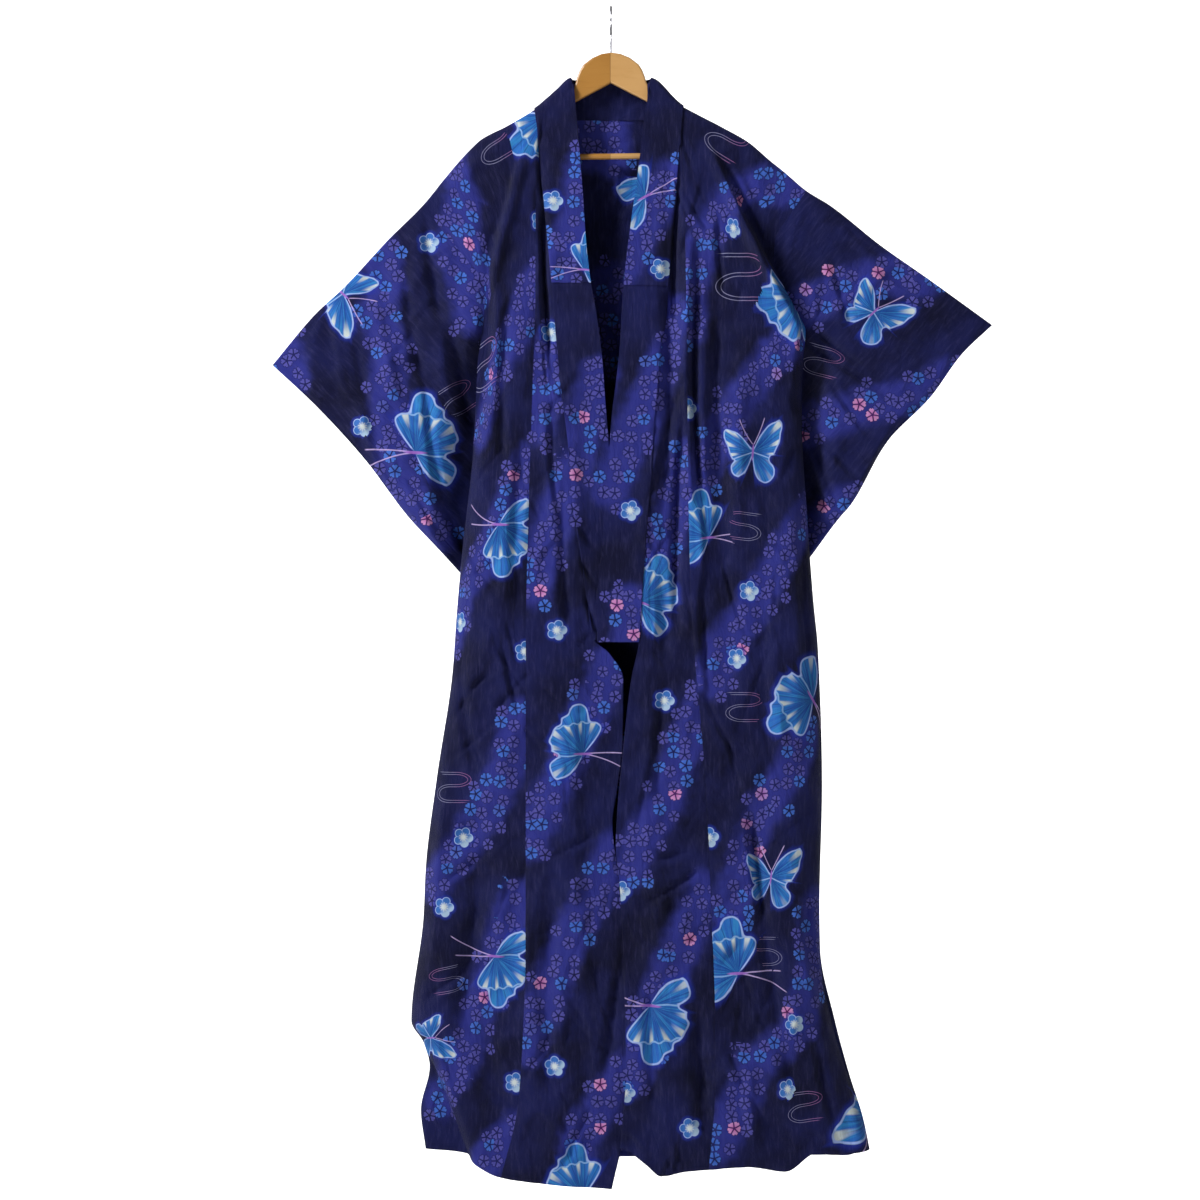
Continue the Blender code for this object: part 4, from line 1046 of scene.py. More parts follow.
def repeat_motifs(low, high, seed):
    """Butterflies, flowers and water lines at the cloth's repeat on a hidden piece."""
    found = []
    for row in range(-4, 5):
        for kind, du, dv, turn in HIDDEN_MOTIFS:
            foot = np.array((du, dv + row * REPEAT[1]), dtype=float)
            if low[1] < foot[1] < high[1]:
                angle = math.radians(turn + seed)
                arm = MOTIF_SIZE[kind] * np.array((math.cos(angle), math.sin(angle)))
                found.append((kind, foot, foot + arm, 1))
                found.append((kind, foot - (REPEAT[0], 0.0), foot - (REPEAT[0], 0.0) + arm, 1))
    return found


def piece_print(layer, names, seed=0):
    """Bands and motifs of one layer of cloth, in its own coordinates."""
    bands = []
    motifs = []
    for name in names:
        for path in BANDS.get(name, ()):
            bands.append(on_path(layer, path))
        for row in MOTIFS:
            m = dict(zip(MOTIF_COLUMNS, row))
            if m["piece"] == name:
                foot = on_cloth(layer, seen(m["foot"]))
                tip = on_cloth(layer, seen(m["tip"]))
                if m["kind"] == "flower":
                    tip = foot + (tip - foot) / np.linalg.norm(tip - foot) * FLOWER_RADIUS
                if m["kind"] == "water":
                    tip = foot + 0.8 * (tip - foot)
                    tip = foot + np.array((foot[1] - tip[1], tip[0] - foot[0]))
                motifs.append((m["kind"], foot, tip, m["hand"]))
    if seed:
        low = layer["uv"].reshape(-1, 2).min(axis=0)
        high = layer["uv"].reshape(-1, 2).max(axis=0)
        bands += repeat_bands(low[1] - 500.0 + 40.0 * seed)
        motifs += repeat_motifs(low, high, seed * 37)
    return bands, motifs


def quad_corners(values):
    """Values at the four corners of each face of a grid."""
    return np.stack((values[:-1, :-1], values[1:, :-1], values[1:, 1:], values[:-1, 1:]), axis=2)


def print_corners(layer, bands, motifs):
    """The nearest band and the nearest motif at each corner of each face."""
    corner = quad_corners(layer["uv"]).reshape(-1, 4, 2)
    middle = corner.mean(axis=1)
    best = np.full(len(middle), 1e9)
    band = np.zeros((len(middle), 4, 3))
    band[..., 0] = 500.0
    for path in bands:
        path = list(path)
        for a, b in zip(path[:-1], path[1:]):
            along = (b - a) / np.linalg.norm(b - a)
            side = np.array((-along[1], along[0]))
            full = (middle - a) @ along
            share = np.clip(full, 0.0, np.linalg.norm(b - a))
            offset = middle - a - share[:, None] * along
            away = np.linalg.norm(offset, axis=1)
            near = away < best
            best[near] = away[near]
            before = (full < 0.0) & (a is path[0])
            past = before | ((full > np.linalg.norm(b - a)) & (b is path[-1]))
            across = np.where(past[:, None], offset / np.maximum(away, 0.1)[:, None], side)
            foot = a + share[:, None] * along
            reach = np.einsum("ijk,ik->ij", corner - foot[:, None, :], across)
            band[near, :, 0] = reach[near]
            band[near, :, 1:] = across[near][:, None, :]
    motif = np.zeros((len(middle), 4, 3))
    best = np.full(len(middle), 1.0)
    for kind, foot, tip, hand in motifs:
        size = np.linalg.norm(tip - foot)
        up = (tip - foot) / size
        lean = math.radians({"side": -6.0, "open": 40.0}.get(kind, 0.0)) * hand
        up = np.array((
            up[0] * math.cos(lean) - up[1] * math.sin(lean),
            up[0] * math.sin(lean) + up[1] * math.cos(lean),
        ))
        right = np.array((up[1], -up[0])) * hand
        core = foot + (0.35 * (tip - foot) if kind == "side" else 0.0)
        away = np.linalg.norm(middle - core, axis=1) / size / MOTIF_REACH[kind]
        near = away < best
        best[near] = away[near]
        offset = (corner[near] - foot) / size
        motif[near, :, 0] = offset @ right
        motif[near, :, 1] = offset @ up
        motif[near, :, 2] = MOTIF_KINDS.index(kind)
    return band, motif


def surface_normals(points, quads):
    """A unit normal at each welded point."""
    a, b, c, d = (points[quads[:, k]] for k in range(4))
    face = np.cross(c - a, d - b)
    total = np.zeros_like(points)
    for k in range(4):
        np.add.at(total, quads[:, k], face)
    size = np.linalg.norm(total, axis=1)
    return total / np.maximum(size, 1e-12)[:, None]


def cloth(name, layers, thickness, finish):
    """A thin closed shell round one or more layers, with the print on its corners."""
    places = np.concatenate([layer["place"].reshape(-1, 3) for layer, flip, printed in layers])
    keys = np.round(places / WELD).astype(np.int64)
    unused, first, weld = np.unique(keys, axis=0, return_index=True, return_inverse=True)
    weld = weld.reshape(-1)
    points = places[first]
    quads = []
    values = {"cloth": [], "band": [], "motif": []}
    start = 0
    for layer, flip, printed in layers:
        rows, columns = layer["place"].shape[:2]
        index = start + np.arange(rows * columns).reshape(rows, columns)
        quad = quad_corners(index[..., None])[..., 0].reshape(-1, 4)
        band, motif = print_corners(layer, *printed)
        order = slice(None, None, -1) if flip else slice(None)
        quads.append(quad[:, order])
        values["cloth"].append(quad_corners(layer["uv"]).reshape(-1, 4, 2)[:, order] * MM)
        values["band"].append(band[:, order])
        values["motif"].append(motif[:, order])
        start += rows * columns
    quads = weld[np.concatenate(quads)]
    for key, part in values.items():
        values[key] = np.concatenate(part).reshape(-1, part[0].shape[-1])
    normals = surface_normals(points, quads)
    count = len(points)
    outer = points + normals * (thickness / 2)
    inner = points - normals * (thickness / 2)
    walls = []
    owners = []
    directed = {}
    for number, quad in enumerate(quads.tolist()):
        ring = []
        own = []
        for k in range(4):
            if quad[k] not in ring:
                ring.append(quad[k])
                own.append(4 * number + k)
        if len(ring) < 3:
            continue
        walls.append(ring)
        owners.append(own)
        walls.append([count + a for a in reversed(ring)])
        owners.append(own[::-1])
        for k in range(len(ring)):
            after = (k + 1) % len(ring)
            directed[(ring[k], ring[after])] = (own[k], own[after])
    for (a, b), (own_a, own_b) in directed.items():
        if (b, a) not in directed:
            walls.append((b, a, count + a, count + b))
            owners.append((own_b, own_a, own_a, own_b))
    mesh = bpy.data.meshes.new(name)
    mesh.from_pydata((np.concatenate((outer, inner)) * MM).tolist(), [], walls)
    flat = np.array([own for owner in owners for own in owner])
    mesh.uv_layers.new(name="cloth").data.foreach_set("uv", values["cloth"][flat].ravel())
    for key in ("band", "motif"):
        spread = mesh.attributes.new(key, "FLOAT_VECTOR", "CORNER")
        spread.data.foreach_set("vector", values[key][flat].ravel())
    mesh.shade_smooth()
    made = bpy.data.objects.new(name, mesh)
    bpy.context.scene.collection.objects.link(made)
    made.data.materials.append(finish)
    return made


def srgb(code):
    """Linear colour of a six-digit screen colour."""
    parts = [int(code[k:k + 2], 16) / 255.0 for k in (0, 2, 4)]
    return tuple(c / 12.92 if c <= 0.04045 else ((c + 0.055) / 1.055) ** 2.4 for c in parts) + (1.0,)


class Value:
    """A number, place or colour inside a material; arithmetic on it adds nodes."""

    def __init__(self, paint, socket):
        self.paint = paint
        self.socket = socket

    def __add__(self, other):
        return self.paint.math("ADD", self, other)

    def __sub__(self, other):
        return self.paint.math("SUBTRACT", self, other)

    def __rsub__(self, other):
        return self.paint.math("SUBTRACT", other, self)

    def __mul__(self, other):
        return self.paint.math("MULTIPLY", self, other)

    def __truediv__(self, other):
        return self.paint.math("DIVIDE", self, other)

    def __pow__(self, other):
        return self.paint.math("POWER", self, other)

    def __abs__(self):
        return self.paint.math("ABSOLUTE", self)

    def times_plus(self, factor, extra):
        """Itself times a factor plus an extra, in one node."""
        return self.paint.math("MULTIPLY_ADD", self, factor, extra)

    def at_least(self, other):
        return self.paint.math("MAXIMUM", self, other)

    def root(self):
        return self.paint.math("SQRT", self)

    def sine(self):
        return self.paint.math("SINE", self)

    def cosine(self):
        return self.paint.math("COSINE", self)

    def fraction(self):
        return self.paint.math("FRACT", self)

    def ramp(self, low, high, start=0.0, end=1.0):
        """A smooth rise from one level to another, clamped at both ends."""
        made = self.paint.node("ShaderNodeMapRange", interpolation_type="SMOOTHSTEP")
        for socket, number in zip(made.inputs, (self, low, high, start, end)):
            self.paint.put(socket, number)
        return Value(self.paint, made.outputs[0])


class Paint:
    """Small helpers for building one material's nodes."""

    def __init__(self, name):
        self.material = bpy.data.materials.new(name)
        self.material.use_nodes = True
        self.tree = self.material.node_tree
        self.shader = self.tree.nodes["Principled BSDF"]

    def node(self, kind, **settings):
        made = self.tree.nodes.new(kind)
        for key, value in settings.items():
            setattr(made, key, value)
        return made

    def put(self, socket, value):
        if isinstance(value, Value):
            self.tree.links.new(value.socket, socket)
        else:
            socket.default_value = value

    def finish(self, **values):
        """Set or link the shader's own sockets, whose names are written with low lines."""
        for key, value in values.items():
            self.put(self.shader.inputs[key.replace("_", " ")], value)

    def bump(self, height, strength, distance):
        made = self.node("ShaderNodeBump")
        made.inputs["Strength"].default_value = strength
        made.inputs["Distance"].default_value = distance
        self.put(made.inputs["Height"], height)
        self.finish(Normal=Value(self, made.outputs[0]))

    def math(self, operation, *values):
        made = self.node("ShaderNodeMath", operation=operation)
        for socket, value in zip(made.inputs, values):
            self.put(socket, value)
        return Value(self, made.outputs[0])

    def place(self):
        """Where a point of the surface lies, in metres."""
        return Value(self, self.node("ShaderNodeTexCoord").outputs["Object"])

    def attribute(self, name):
        return Value(self, self.node("ShaderNodeAttribute", attribute_name=name).outputs["Vector"])

    def curve(self, value, points):
        made = self.node("ShaderNodeFloatCurve")
        line = made.mapping.curves[0]
        line.points[0].location = points[0]
        line.points[1].location = points[-1]
        for spot in points[1:-1]:
            line.points.new(*spot)
        made.mapping.update()
        self.put(made.inputs["Value"], value)
        return Value(self, made.outputs[0])

    def split(self, vector):
        made = self.node("ShaderNodeSeparateXYZ")
        self.put(made.inputs[0], vector)
        return [Value(self, socket) for socket in made.outputs]

    def join(self, x, y, z=0.0):
        made = self.node("ShaderNodeCombineXYZ")
        for socket, value in zip(made.inputs, (x, y, z)):
            self.put(socket, value)
        return Value(self, made.outputs[0])

    def mix(self, share, a, b):
        """From one colour to another; a colour is a value or six digits of a screen colour."""
        made = self.node("ShaderNodeMix", data_type="RGBA")
        self.put(made.inputs[0], share)
        self.put(made.inputs[6], srgb(a) if isinstance(a, str) else a)
        self.put(made.inputs[7], srgb(b) if isinstance(b, str) else b)
        return Value(self, made.outputs[2])

    def noise(self, vector, scale, detail=2.0, rough=0.5):
        made = self.node("ShaderNodeTexNoise")
        self.put(made.inputs["Vector"], vector)
        made.inputs["Scale"].default_value = scale
        made.inputs["Detail"].default_value = detail
        made.inputs["Roughness"].default_value = rough
        return Value(self, made.outputs["Fac"])


FULL_TURN = 2.0 * math.pi
# Wing outlines round the butterfly's foot: degrees from the right, and reach.
SIDE_WING = (
    (0, 0.02), (38, 0.02), (50, 0.30), (58, 0.66), (66, 0.68), (76, 0.66), (84, 0.84), (90, 0.97),
    (96, 1.0), (106, 0.93), (112, 0.84), (120, 0.83), (128, 0.74), (136, 0.76), (148, 0.73),
    (158, 0.72), (166, 0.64), (174, 0.61), (184, 0.48), (192, 0.58), (202, 0.71), (212, 0.73),
    (220, 0.74), (228, 0.64), (236, 0.48), (244, 0.22), (252, 0.04), (360, 0.02),
)
SIDE_INNER = (
    (0, 0.02), (50, 0.30), (60, 0.70), (76, 0.66), (84, 0.62), (92, 0.65), (100, 0.61),
    (108, 0.65), (116, 0.63), (124, 0.69), (132, 0.70), (144, 0.78), (180, 0.60), (186, 0.42),
    (192, 0.2), (200, 0.05), (360, 0.02),
)
OPEN_WING = (
    (0, 0.53), (13, 0.61), (24, 0.73), (36, 0.84), (43, 0.96), (49, 1.0), (54, 0.90), (61, 0.72),
    (66.5, 0.49), (72, 0.25), (77, 0.10), (100, 0.07), (125, 0.12), (133, 0.38), (138, 0.59),
    (143.5, 0.71), (148.6, 0.83), (155, 0.80), (165, 0.69), (176, 0.59), (193, 0.53), (203, 0.50),
    (208, 0.47), (215, 0.58), (222.5, 0.64), (232, 0.675), (240, 0.66), (246, 0.58), (253, 0.43),
    (258, 0.2), (265, 0.11), (275, 0.13), (280, 0.34), (284.5, 0.55), (292, 0.68), (303, 0.755),
    (315, 0.755), (327, 0.69), (335, 0.565), (341, 0.45), (348, 0.43), (360, 0.53),
)
CURVE_SCALE = 0.9
CURVE_STEP = 0.006

# The blossoms, in millimetres and in shares of all the cells.
CELLS_PER_METRE = 47.0
CELL_UNEVENNESS = 0.62
BLOSSOM_RADIUS = 9.5
BLUE_SHARE = (0.74, 0.76)
PINK_SHARE = (0.966, 0.970)

# Threads to a metre of cloth, across and along.
WEFT = 1400.0
WARP = 1200.0


def most(*values):
    found = values[0]
    for value in values[1:]:
        found = found.at_least(value)
    return found


def line(distance, half):
    """One on a thin line, fading at its edges."""
    return abs(distance).ramp(half * 0.5, half * 1.5, 1.0, 0.0)


def wing(paint, turn, radius, table):
    """A wing outline's reach, and the distance inside it, in the motif's own size."""
    points = [(degrees / 360.0, reach * CURVE_SCALE) for degrees, reach in table]
    reach = paint.curve(turn, points) / CURVE_SCALE
    after = paint.curve(turn + CURVE_STEP, points) / CURVE_SCALE
    slope = (after - reach) * (1.0 / (CURVE_STEP * FULL_TURN))
    steep = slope.times_plus(slope, radius * radius).root()
    return reach, (reach - radius) * (radius / (steep + 0.001))


def antenna(u, v, tilt, bend, first, last, half):
    """A thin curve that leaves the head and bends away."""
    away = v - (u * u).times_plus(bend, u * tilt)
    here = u.ramp(first, first + 0.04) * u.ramp(last - 0.05, last, 1.0, 0.0)
    return line(away, half) * here


def purple_bands(paint, uv, across, ground):
    """The bands' ragged colour over the ground, and how far inside a band each place is."""
    wander = paint.noise(uv, 14.0, 2.0) - 0.5
    ragged = paint.noise(uv, 60.0, 1.0) - 0.5
    off = abs(wander.times_plus(16.0, across))
    off = ragged.times_plus(14.0, off)
    inside = off.ramp(BAND_HALF - 12.0, BAND_HALF + 12.0, 1.0, 0.0)
    tone = paint.mix(paint.noise(uv, 26.0, 3.0), "262a80", "363c9e")
    return paint.mix(inside * 0.92, ground, tone), inside


def blossoms(paint, uv, band, inside, colour):
    """Cherry blossoms, one in each cell, where the cell's own middle lies in a band."""
    u, v, unused = paint.split(uv)
    across, band_u, band_v = band
    cells = paint.node("ShaderNodeTexVoronoi", voronoi_dimensions="2D", feature="F1")
    paint.put(cells.inputs["Vector"], uv)
    cells.inputs["Scale"].default_value = CELLS_PER_METRE
    cells.inputs["Randomness"].default_value = CELL_UNEVENNESS
    cell_u, cell_v, unused = paint.split(Value(paint, cells.outputs["Position"]))
    chance, hue, spin = paint.split(Value(paint, cells.outputs["Color"]))
    du = (u - cell_u) * (1.0 / MM)
    dv = (v - cell_v) * (1.0 / MM)
    middle = abs(across - (du * band_u + dv * band_v))
    present = (chance.times_plus(25.0, BAND_HALF - 11.0) - middle).ramp(-0.01, 0.01)
    radius = du.times_plus(du, dv * dv).root()
    angle = paint.math("ARCTAN2", dv, du) * (5.0 / FULL_TURN)
    petal = abs((angle + spin * 5.0).fraction() - 0.5)
    gap = radius * (FULL_TURN / 5.0) * (0.5 - petal)
    tip = BLOSSOM_RADIUS - petal.ramp(0.0, 0.13, 1.6, 0.0) - petal ** 3.0 * 22.0
    tip = (hue - 0.5).times_plus(1.6, tip)
    petals = gap.ramp(0.55, 1.5) * (tip - radius).ramp(-0.3, 0.5) * present
    outline = (tip - radius).ramp(-1.3, -0.5) * present
    lilac = paint.mix(paint.noise(uv, 90.0, 1.0), "4a4cac", "6a66c4")
    blue = paint.mix(radius.ramp(1.0, 9.0), "3f6cd0", "4a78dc")
    pink = paint.mix(radius.ramp(1.0, 9.0), "d47cc4", "e0a0d8")
    petal_colour = paint.mix(hue.ramp(*BLUE_SHARE), lilac, blue)
    petal_colour = paint.mix(hue.ramp(*PINK_SHARE), petal_colour, pink)
    dark = paint.mix(hue.ramp(*PINK_SHARE), "0c0e3c", "501048")
    edge = outline * inside.times_plus(-0.2, 0.92) * radius.ramp(10.2, 11.4, 1.0, 0.0)
    colour = paint.mix(edge, colour, dark)
    bright = hue.ramp(*BLUE_SHARE).times_plus(0.12, 0.76)
    return paint.mix(petals * radius.ramp(1.5, 2.6) * bright, colour, petal_colour)


class Motif:
    """The placed motif that lies nearest: the place in its own size, and which kind it is."""

    def __init__(self, paint):
        self.x, self.y, kind = paint.split(paint.attribute("motif"))
        self.near = self.x.times_plus(self.x, self.y * self.y).root()
        self.turn = (paint.math("ARCTAN2", self.y, self.x) / FULL_TURN).fraction()
        for name in MOTIF_KINDS[1:]:
            setattr(self, name, paint.math("COMPARE", kind, float(MOTIF_KINDS.index(name)), 0.3))
        self.wings = self.side + self.open


def wing_colour(paint, motif, share, inner_reach):
    """Blue wings with streaks, veins and white flashes towards their edges."""
    turn = motif.turn
    streaks = paint.noise(paint.join(turn * 60.0, motif.near), 1.6, 2.0)
    deep = paint.mix(share.ramp(0.1, 0.95), "18449c", "2c6fcc")
    deep = paint.mix(streaks.ramp(0.42, 0.68, 0.0, 0.75), deep, "3897d4")
    veins = (turn * (FULL_TURN * 30.0)).cosine().ramp(0.86, 0.99, 0.0, 0.5)
    deep = paint.mix(veins * share.ramp(0.1, 0.4), deep, "15307c")
    flashes = (turn * (FULL_TURN * 15.0)).cosine()
    front_share = motif.near / inner_reach.at_least(0.05)
    side_white = front_share.ramp(0.55, 0.98) * front_share.ramp(1.0, 1.02, 1.0, 0.0)
    hind = turn.ramp(0.54, 0.56) * share.ramp(0.55, 0.95) * 0.7
    side_white = most(side_white, hind) * motif.side
    left_fore = turn.ramp(0.36, 0.37) * turn.ramp(0.54, 0.55, 1.0, 0.0)
    fore = most(turn.ramp(0.20, 0.21, 1.0, 0.0), left_fore)
    open_white = share.ramp(0.55, 0.95) * motif.open * fore.times_plus(0.7, 0.3)
    spread = (flashes + share.ramp(0.6, 1.0) * 0.3).ramp(0.35, 1.0)
    return paint.mix((side_white + open_white) * spread * 0.95, deep, "dfe8e4")


def butterflies(paint, motif, colour):
    """Butterflies from the side and open: glow, wings, their inner lines and a pale rim."""
    near, turn = motif.near, motif.turn
    side_reach, side_in = wing(paint, turn, near, SIDE_WING)
    inner_reach, inner_in = wing(paint, turn, near, SIDE_INNER)
    open_reach, open_in = wing(paint, turn, near, OPEN_WING)
    wing_in = side_in * motif.side + open_in * motif.open
    reach = (side_reach * motif.side + open_reach * motif.open).at_least(0.05)
    colour = paint.mix(wing_in.ramp(-0.13, 0.0) * motif.wings * 0.6, colour, "2036b4")
    mask = wing_in.ramp(-0.012, 0.006) * motif.wings
    deep = wing_colour(paint, motif, near / reach, inner_reach)
    deep = paint.mix(line(inner_in, 0.014) * (motif.side * mask), deep, "8cb8ea")
    right = near * ((turn - 0.967) * FULL_TURN).sine()
    right = line(right, 0.013) * motif.x.ramp(0.0, 0.02)
    left = near * ((turn - 0.566) * FULL_TURN).sine()
    left = line(left, 0.013) * motif.x.ramp(-0.02, 0.0, 1.0, 0.0)
    deep = paint.mix(most(right, left) * motif.open, deep, "9cc0f0")
    colour = paint.mix(mask, colour, deep)
    rim = line(wing_in, 0.016) * (motif.wings * near.ramp(0.04, 0.12))
    return paint.mix(rim, colour, "a8c0f4")


def butterfly_bodies(paint, motif, colour):
    """Each butterfly's two feelers and its slim body."""
    x, y = motif.x, motif.y
    feel_side = most(
        antenna(x, y, -0.12, -0.28, 0.02, 0.95, 0.011),
        antenna(x, y, 0.10, -0.10, 0.02, 0.85, 0.011),
    )
    head = y - 0.16
    feel_open = most(
        antenna(head, x, 0.42, -0.12, 0.0, 0.66, 0.012),
        antenna(head, x, -0.95, 0.42, 0.0, 0.56, 0.012),
    )
    feelers = feel_side * motif.side + feel_open * motif.open
    colour = paint.mix(feelers * 0.85, colour, "cdb6ee")
    long_way = motif.open * y + motif.side * x
    short_way = motif.open * x + motif.side * y
    body = (abs(short_way) / 0.026) ** 2.0 + (abs(long_way) / 0.2) ** 2.0
    return paint.mix(body.ramp(0.5, 1.2, 1.0, 0.0) * motif.wings, colour, "a46fd0")


def flowers(paint, motif, colour):
    """Flowers of five round petals, pale in the middle and lit from one side."""
    near = motif.near
    part = abs(motif.turn.times_plus(5.0, 0.25).fraction() - 0.5) * (FULL_TURN / 5.0)
    petal_x = near * part.cosine() - 0.58
    petal_y = near * part.sine()
    from_petal = petal_x.times_plus(petal_x, petal_y * petal_y).root()
    inside = most(0.40 - from_petal, 0.42 - near)
    between = near * (FULL_TURN / 10.0 - part).sine()
    colour = paint.mix(inside.ramp(-0.45, 0.0) * motif.flower * 0.8, colour, "1e34a8")
    lit = (motif.x * 0.8 + motif.y * -0.5).ramp(0.05, 0.6)
    face = paint.mix(lit, "3a74c8", "b4d0e8")
    face = paint.mix(near.ramp(0.12, 0.5, 0.9, 0.0), face, "e6f0ee")
    parts = between.ramp(0.02, 0.07, 1.0, 0.0) * near.ramp(0.25, 0.4)
    face = paint.mix(parts * 0.7, face, "8fb4ea")
    stamens = (motif.turn * (FULL_TURN * 10.0)).cosine().ramp(0.5, 0.95)
    stamens = stamens * near.ramp(0.42, 0.5, 1.0, 0.0)
    face = paint.mix(stamens * 0.6, face, "fbfdf6")
    colour = paint.mix(inside.ramp(-0.03, 0.02) * motif.flower, colour, face)
    return paint.mix(line(inside, 0.035) * motif.flower, colour, "b0c8f2")


def from_oval(x, y, wide, high):
    """Distance from an oval's line, true near the line."""
    first = (abs(x * (1.0 / wide)) ** 2.0 + abs(y * (1.0 / high)) ** 2.0).root()
    second = (abs(x * (1.0 / wide ** 2)) ** 2.0 + abs(y * (1.0 / high ** 2)) ** 2.0).root()
    return first * (first - 1.0) / second.at_least(0.01)


def water_lines(paint, motif, colour):
    """A stroke that doubles back twice, drawn as two lines side by side."""
    half = 0.008
    strokes = []
    for grow in (0.0, 0.13):
        bends = (
            (0.10, 0.30, 0.62 - grow, 0.26 - 0.6 * grow, 1.0),
            (-0.12, -0.20, 0.50 + grow, 0.24 + 0.6 * grow, -1.0),
        )
        for middle_x, middle_y, wide, high, hand in bends:
            x = motif.x - middle_x
            y = motif.y - middle_y
            beside = (x * hand).ramp(-0.01, 0.0)
            strokes.append(line(from_oval(x, y, wide, high), half) * beside)
            flat = line(y - high * hand, half)
            free = (x * hand).ramp(-0.85 + grow, -0.65 + grow)
            strokes.append(flat * free * (1.0 - beside))
        link = line(motif.y - (0.04 + 0.6 * grow), half)
        strokes.append(link * (motif.x.ramp(-0.13, -0.11) * motif.x.ramp(0.10, 0.12, 1.0, 0.0)))
    stroke_colour = paint.mix(motif.x.ramp(-0.3, 0.5), "a8a8d4", "b478b8")
    return paint.mix(most(*strokes) * (motif.water * 0.72), colour, stroke_colour)


def cloth_relief(paint, uv, crinkle):
    """Bump height of crinkles, weave, soft waves and two families of pressed lines."""
    u, v, unused = paint.split(uv)
    weave = (u * (FULL_TURN * WEFT)).sine() * (v * (FULL_TURN * WARP)).sine() * 0.25
    height = crinkle + weave
    waves = paint.noise(paint.join(u, v * 0.55), 110.0, 3.0, 0.6)
    height = waves.times_plus(1.6, height)
    slanting = paint.join(u + v * 0.12, v * 0.30, 3.0)
    crossing = paint.join(u + v * 0.8, v - u * 0.6, 7.0)
    for way, scale, detail, rough, wide, deep in (
        (slanting, 30.0, 3.0, 0.55, 0.045, 0.75),
        (crossing, 21.0, 2.0, 0.5, 0.03, 0.45),
    ):
        pressed = abs(paint.noise(way, scale, detail, rough) - 0.5)
        height = pressed.ramp(0.0, wide).times_plus(deep, height)
    return height


def cotton(name):
    """Printed cotton: navy ground, bands of blossom, butterflies, flowers and water lines."""
    paint = Paint(name)
    uv = Value(paint, paint.node("ShaderNodeUVMap", uv_map="cloth").outputs[0])
    # The ground is mottled from near-black to navy in patches about a tenth of a metre wide: random
    # tone, partly painted shade and light that stand for the broad dark and lit areas of the folds.
    colour = paint.mix(paint.noise(uv, 9.0, 3.0).ramp(0.3, 0.7), "05072e", "151a54")
    band = paint.split(paint.attribute("band"))
    colour, inside = purple_bands(paint, uv, band[0], colour)
    colour = blossoms(paint, uv, band, inside, colour)
    motif = Motif(paint)
    for draw in (butterflies, butterfly_bodies, flowers, water_lines):
        colour = draw(paint, motif, colour)
    stretched = paint.node("ShaderNodeMapping")
    paint.put(stretched.inputs["Vector"], uv)
    stretched.inputs["Scale"].default_value = (1.0, 0.16, 1.0)
    crinkle = paint.noise(Value(paint, stretched.outputs[0]), 210.0, 4.0, 0.62)
    # Painted highlight: the colour is a little paler on the crinkle's ridges, so the fine wrinkles read
    # as lit.
    colour = paint.mix(crinkle.ramp(0.46, 0.74, 0.0, 0.09), colour, "6a68a8")
    paint.finish(Base_Color=colour, Roughness=0.88, Specular_IOR_Level=0.12)
    paint.finish(Sheen_Weight=0.03, Sheen_Roughness=0.55)
    paint.bump(cloth_relief(paint, uv, crinkle), 0.75, 0.003)
    return paint.material


def wood():
    """Pale varnished wood with a long grain, its two halves glued at the middle."""
    paint = Paint("honey_wood")
    x, y, z = paint.split(paint.place())
    half = x.ramp(-0.0014, -0.0008)
    grain = paint.noise(paint.join(x * 0.14, y, z + half * 0.31), 170.0, 5.0, 0.62)
    rings = paint.noise(paint.join(x * 0.35, y, z + half * 0.7), 34.0, 3.0)
    tone = paint.mix(rings, "8f6128", "a37639")
    tone = paint.mix(grain.ramp(0.5, 0.75) * 0.5, tone, "7c5020")
    pale = paint.mix(rings, "a87e48", "bb9360")
    pale = paint.mix(grain.ramp(0.5, 0.75) * 0.3, pale, "9a7038")
    tone = paint.mix(half, tone, pale)
    joint = abs(x + 0.0011).ramp(0.0002, 0.0006, 1.0, 0.0)
    tone = paint.mix(joint * 0.7, tone, "553a1a")
    paint.finish(Base_Color=tone, Roughness=0.34, Specular_IOR_Level=0.4)
    paint.bump(grain, 0.25, 0.0006)
    return paint.material


def steel():
    """Plated wire, a little dulled."""
    paint = Paint("plated_steel")
    dull = paint.noise(paint.place(), 400.0, 3.0)
    colour = paint.mix(dull, "8a8a90", "b4b4ba")
    paint.finish(Base_Color=colour, Roughness=dull.ramp(0.2, 0.8, 0.2, 0.36), Metallic=1.0)
    return paint.material


def make_robe():
    """The eight cloth pieces, each in place of its node."""
    finish = cotton("printed_cotton")
    made = {}
    for k, side in enumerate(SIDES):
        flip = side == "left"
        front = body_front(side)
        back = body_back(side)
        inside = piece_print(back, ("back",), 3 + k)
        outside = piece_print(front, ("body_" + side,))
        layers = ((front, flip, outside), (back, not flip, inside))
        made["body_" + side] = cloth("robe_body_" + side, layers, CLOTH, finish)
        strip = okumi(side)
        layers = ((strip, not flip, piece_print(strip, ("okumi_" + side,))),)
        made["okumi_" + side] = cloth("robe_okumi_" + side, layers, CLOTH, finish)
        front = sleeve_layer(side, True)
        back = sleeve_layer(side, False)
        outside = piece_print(front, ("sleeve_" + side,))
        layers = ((front, flip, outside), (back, not flip, piece_print(back, (), 5 + k)))
        made["sleeve_" + side] = cloth("robe_sleeve_" + side, layers, CLOTH, finish)
    for node, ends, thickness in (
        ("collar", COLLAR_END, COLLAR_CLOTH),
        ("over_collar", COVER_END, COVER_CLOTH),
    ):
        strip = collar(ends)
        layers = ((strip, False, piece_print(strip, (node,))),)
        made[node] = cloth("robe_" + node, layers, thickness, finish)
    for node, piece in made.items():
        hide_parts(node)
        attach(piece, "root")
    return made


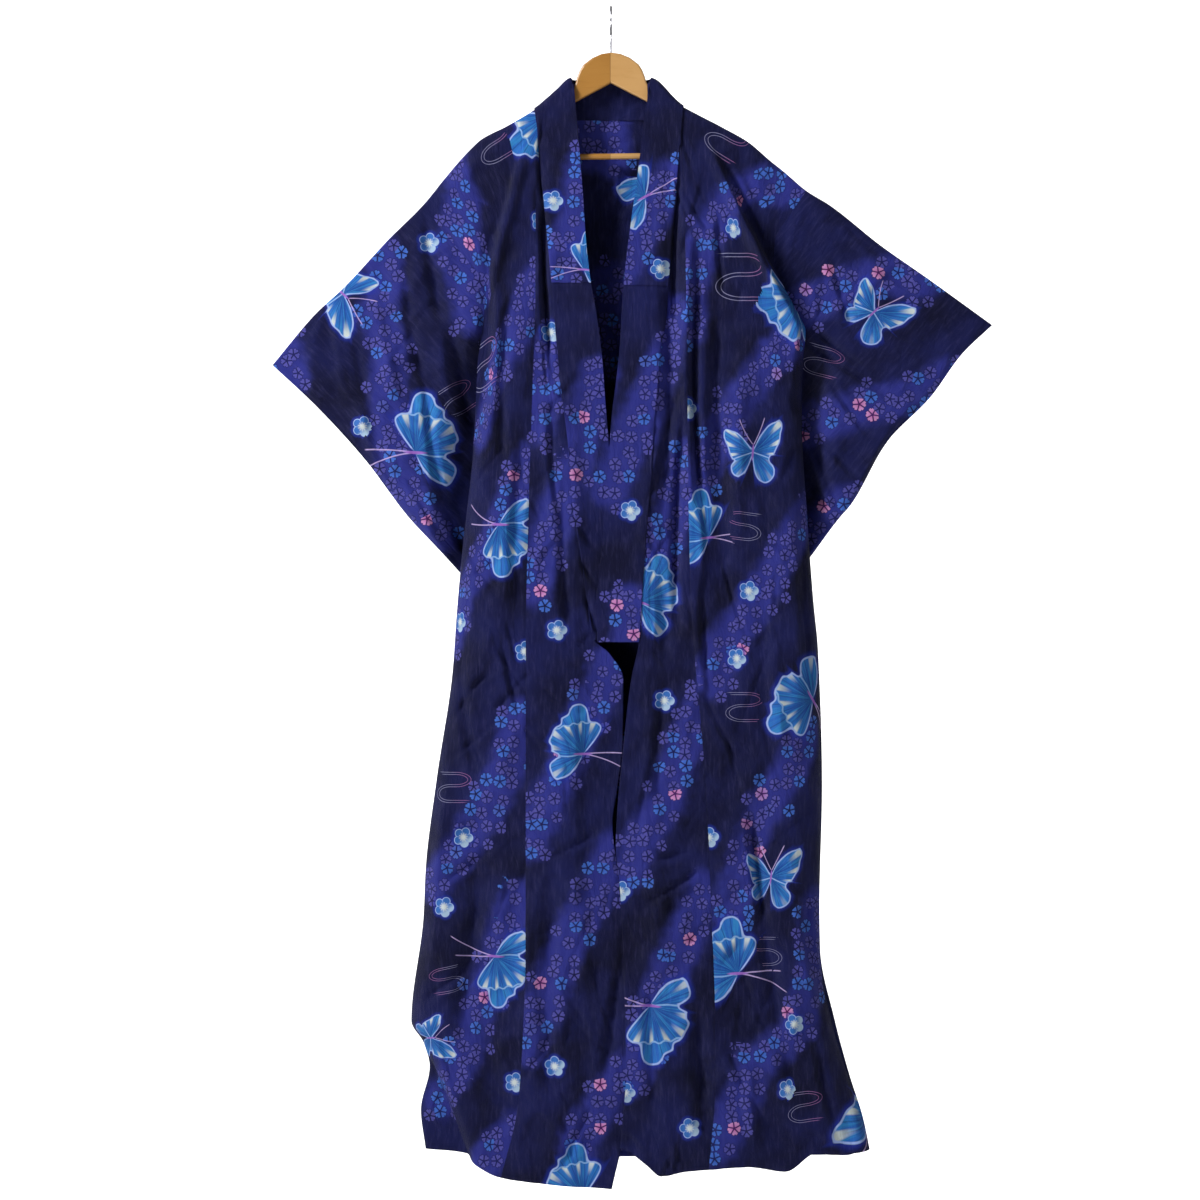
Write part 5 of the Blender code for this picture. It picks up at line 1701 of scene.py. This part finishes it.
honey_wood = wood()
for node in ("hanger_wood", "hanger_bar"):
    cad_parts[node].material_slots[0].material = honey_wood
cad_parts["hanger_hook"].material_slots[0].material = steel()

robe = make_robe()

CAMERA_DISTANCE = 7.0
VIEW_WIDTH = 1.77       # what the picture's width shows at the robe
SENSOR = 36.0
camera = bpy.data.objects.new("camera", bpy.data.cameras.new("camera"))
bpy.context.scene.collection.objects.link(camera)
camera.location = (-0.0162, -CAMERA_DISTANCE, -0.8732)
camera.rotation_euler = (math.radians(90.0), 0.0, 0.0)
camera.data.lens = SENSOR * CAMERA_DISTANCE / VIEW_WIDTH
bpy.context.scene.camera = camera

# Soft lamps: name, place, size and power.
LAMPS = (
    ("key", (-2.2, -1.7, 1.2), 0.8, 150.0),
    ("fill", (2.6, -2.4, -0.2), 1.8, 22.0),
    ("low", (-1.6, -2.4, -1.5), 1.2, 20.0),
)
LAMP_AIM = Vector((0, 0, -0.9))
for name, place, size, power in LAMPS:
    light = bpy.data.objects.new(name, bpy.data.lights.new(name, "AREA"))
    light.data.energy = power
    light.data.size = size
    light.location = place
    light.rotation_euler = (LAMP_AIM - Vector(place)).to_track_quat("-Z", "Y").to_euler()
    bpy.context.scene.collection.objects.link(light)

# A pale floor that bends up into a wall far behind; it glows only behind the robe.
WALL_DISTANCE = 8.6
FLOOR_DROP = 1.84
FLOOR_HALF_WIDTH = 9.0
WALL_TOP = 5.0
BEND = 0.4
BEND_STEPS = 8
profile = [(-WALL_DISTANCE, -FLOOR_DROP), (WALL_DISTANCE - BEND, -FLOOR_DROP)]
for k in range(1, BEND_STEPS + 1):
    turn = math.radians(90.0 * k / BEND_STEPS)
    y = WALL_DISTANCE - BEND + BEND * math.sin(turn)
    profile.append((y, -FLOOR_DROP + BEND - BEND * math.cos(turn)))
profile.append((WALL_DISTANCE, WALL_TOP))
sweep = bpy.data.meshes.new("backdrop")
corners = [(x, y, z) for x in (-FLOOR_HALF_WIDTH, FLOOR_HALF_WIDTH) for y, z in profile]
count = len(profile)
sweep.from_pydata(corners, [], [(k, k + 1, count + k + 1, count + k) for k in range(count - 1)])
sweep.shade_smooth()
backdrop = bpy.data.objects.new("backdrop", sweep)
bpy.context.scene.collection.objects.link(backdrop)
pale = Paint("pale_paper")
pale.finish(Base_Color=(0.8, 0.8, 0.8, 1.0), Roughness=0.9, Emission_Color=(1.0, 1.0, 1.0, 1.0))
behind = pale.split(pale.place())[1]
pale.finish(Emission_Strength=behind.ramp(0.2, 0.6, 0.0, 1.05))
sweep.materials.append(pale.material)

world = bpy.data.worlds.new("studio")
world.use_nodes = True
world.node_tree.nodes["Background"].inputs["Color"].default_value = (1.0, 1.0, 1.0, 1.0)
world.node_tree.nodes["Background"].inputs["Strength"].default_value = 0.12
bpy.context.scene.world = world
bpy.context.scene.view_settings.view_transform = "Standard"
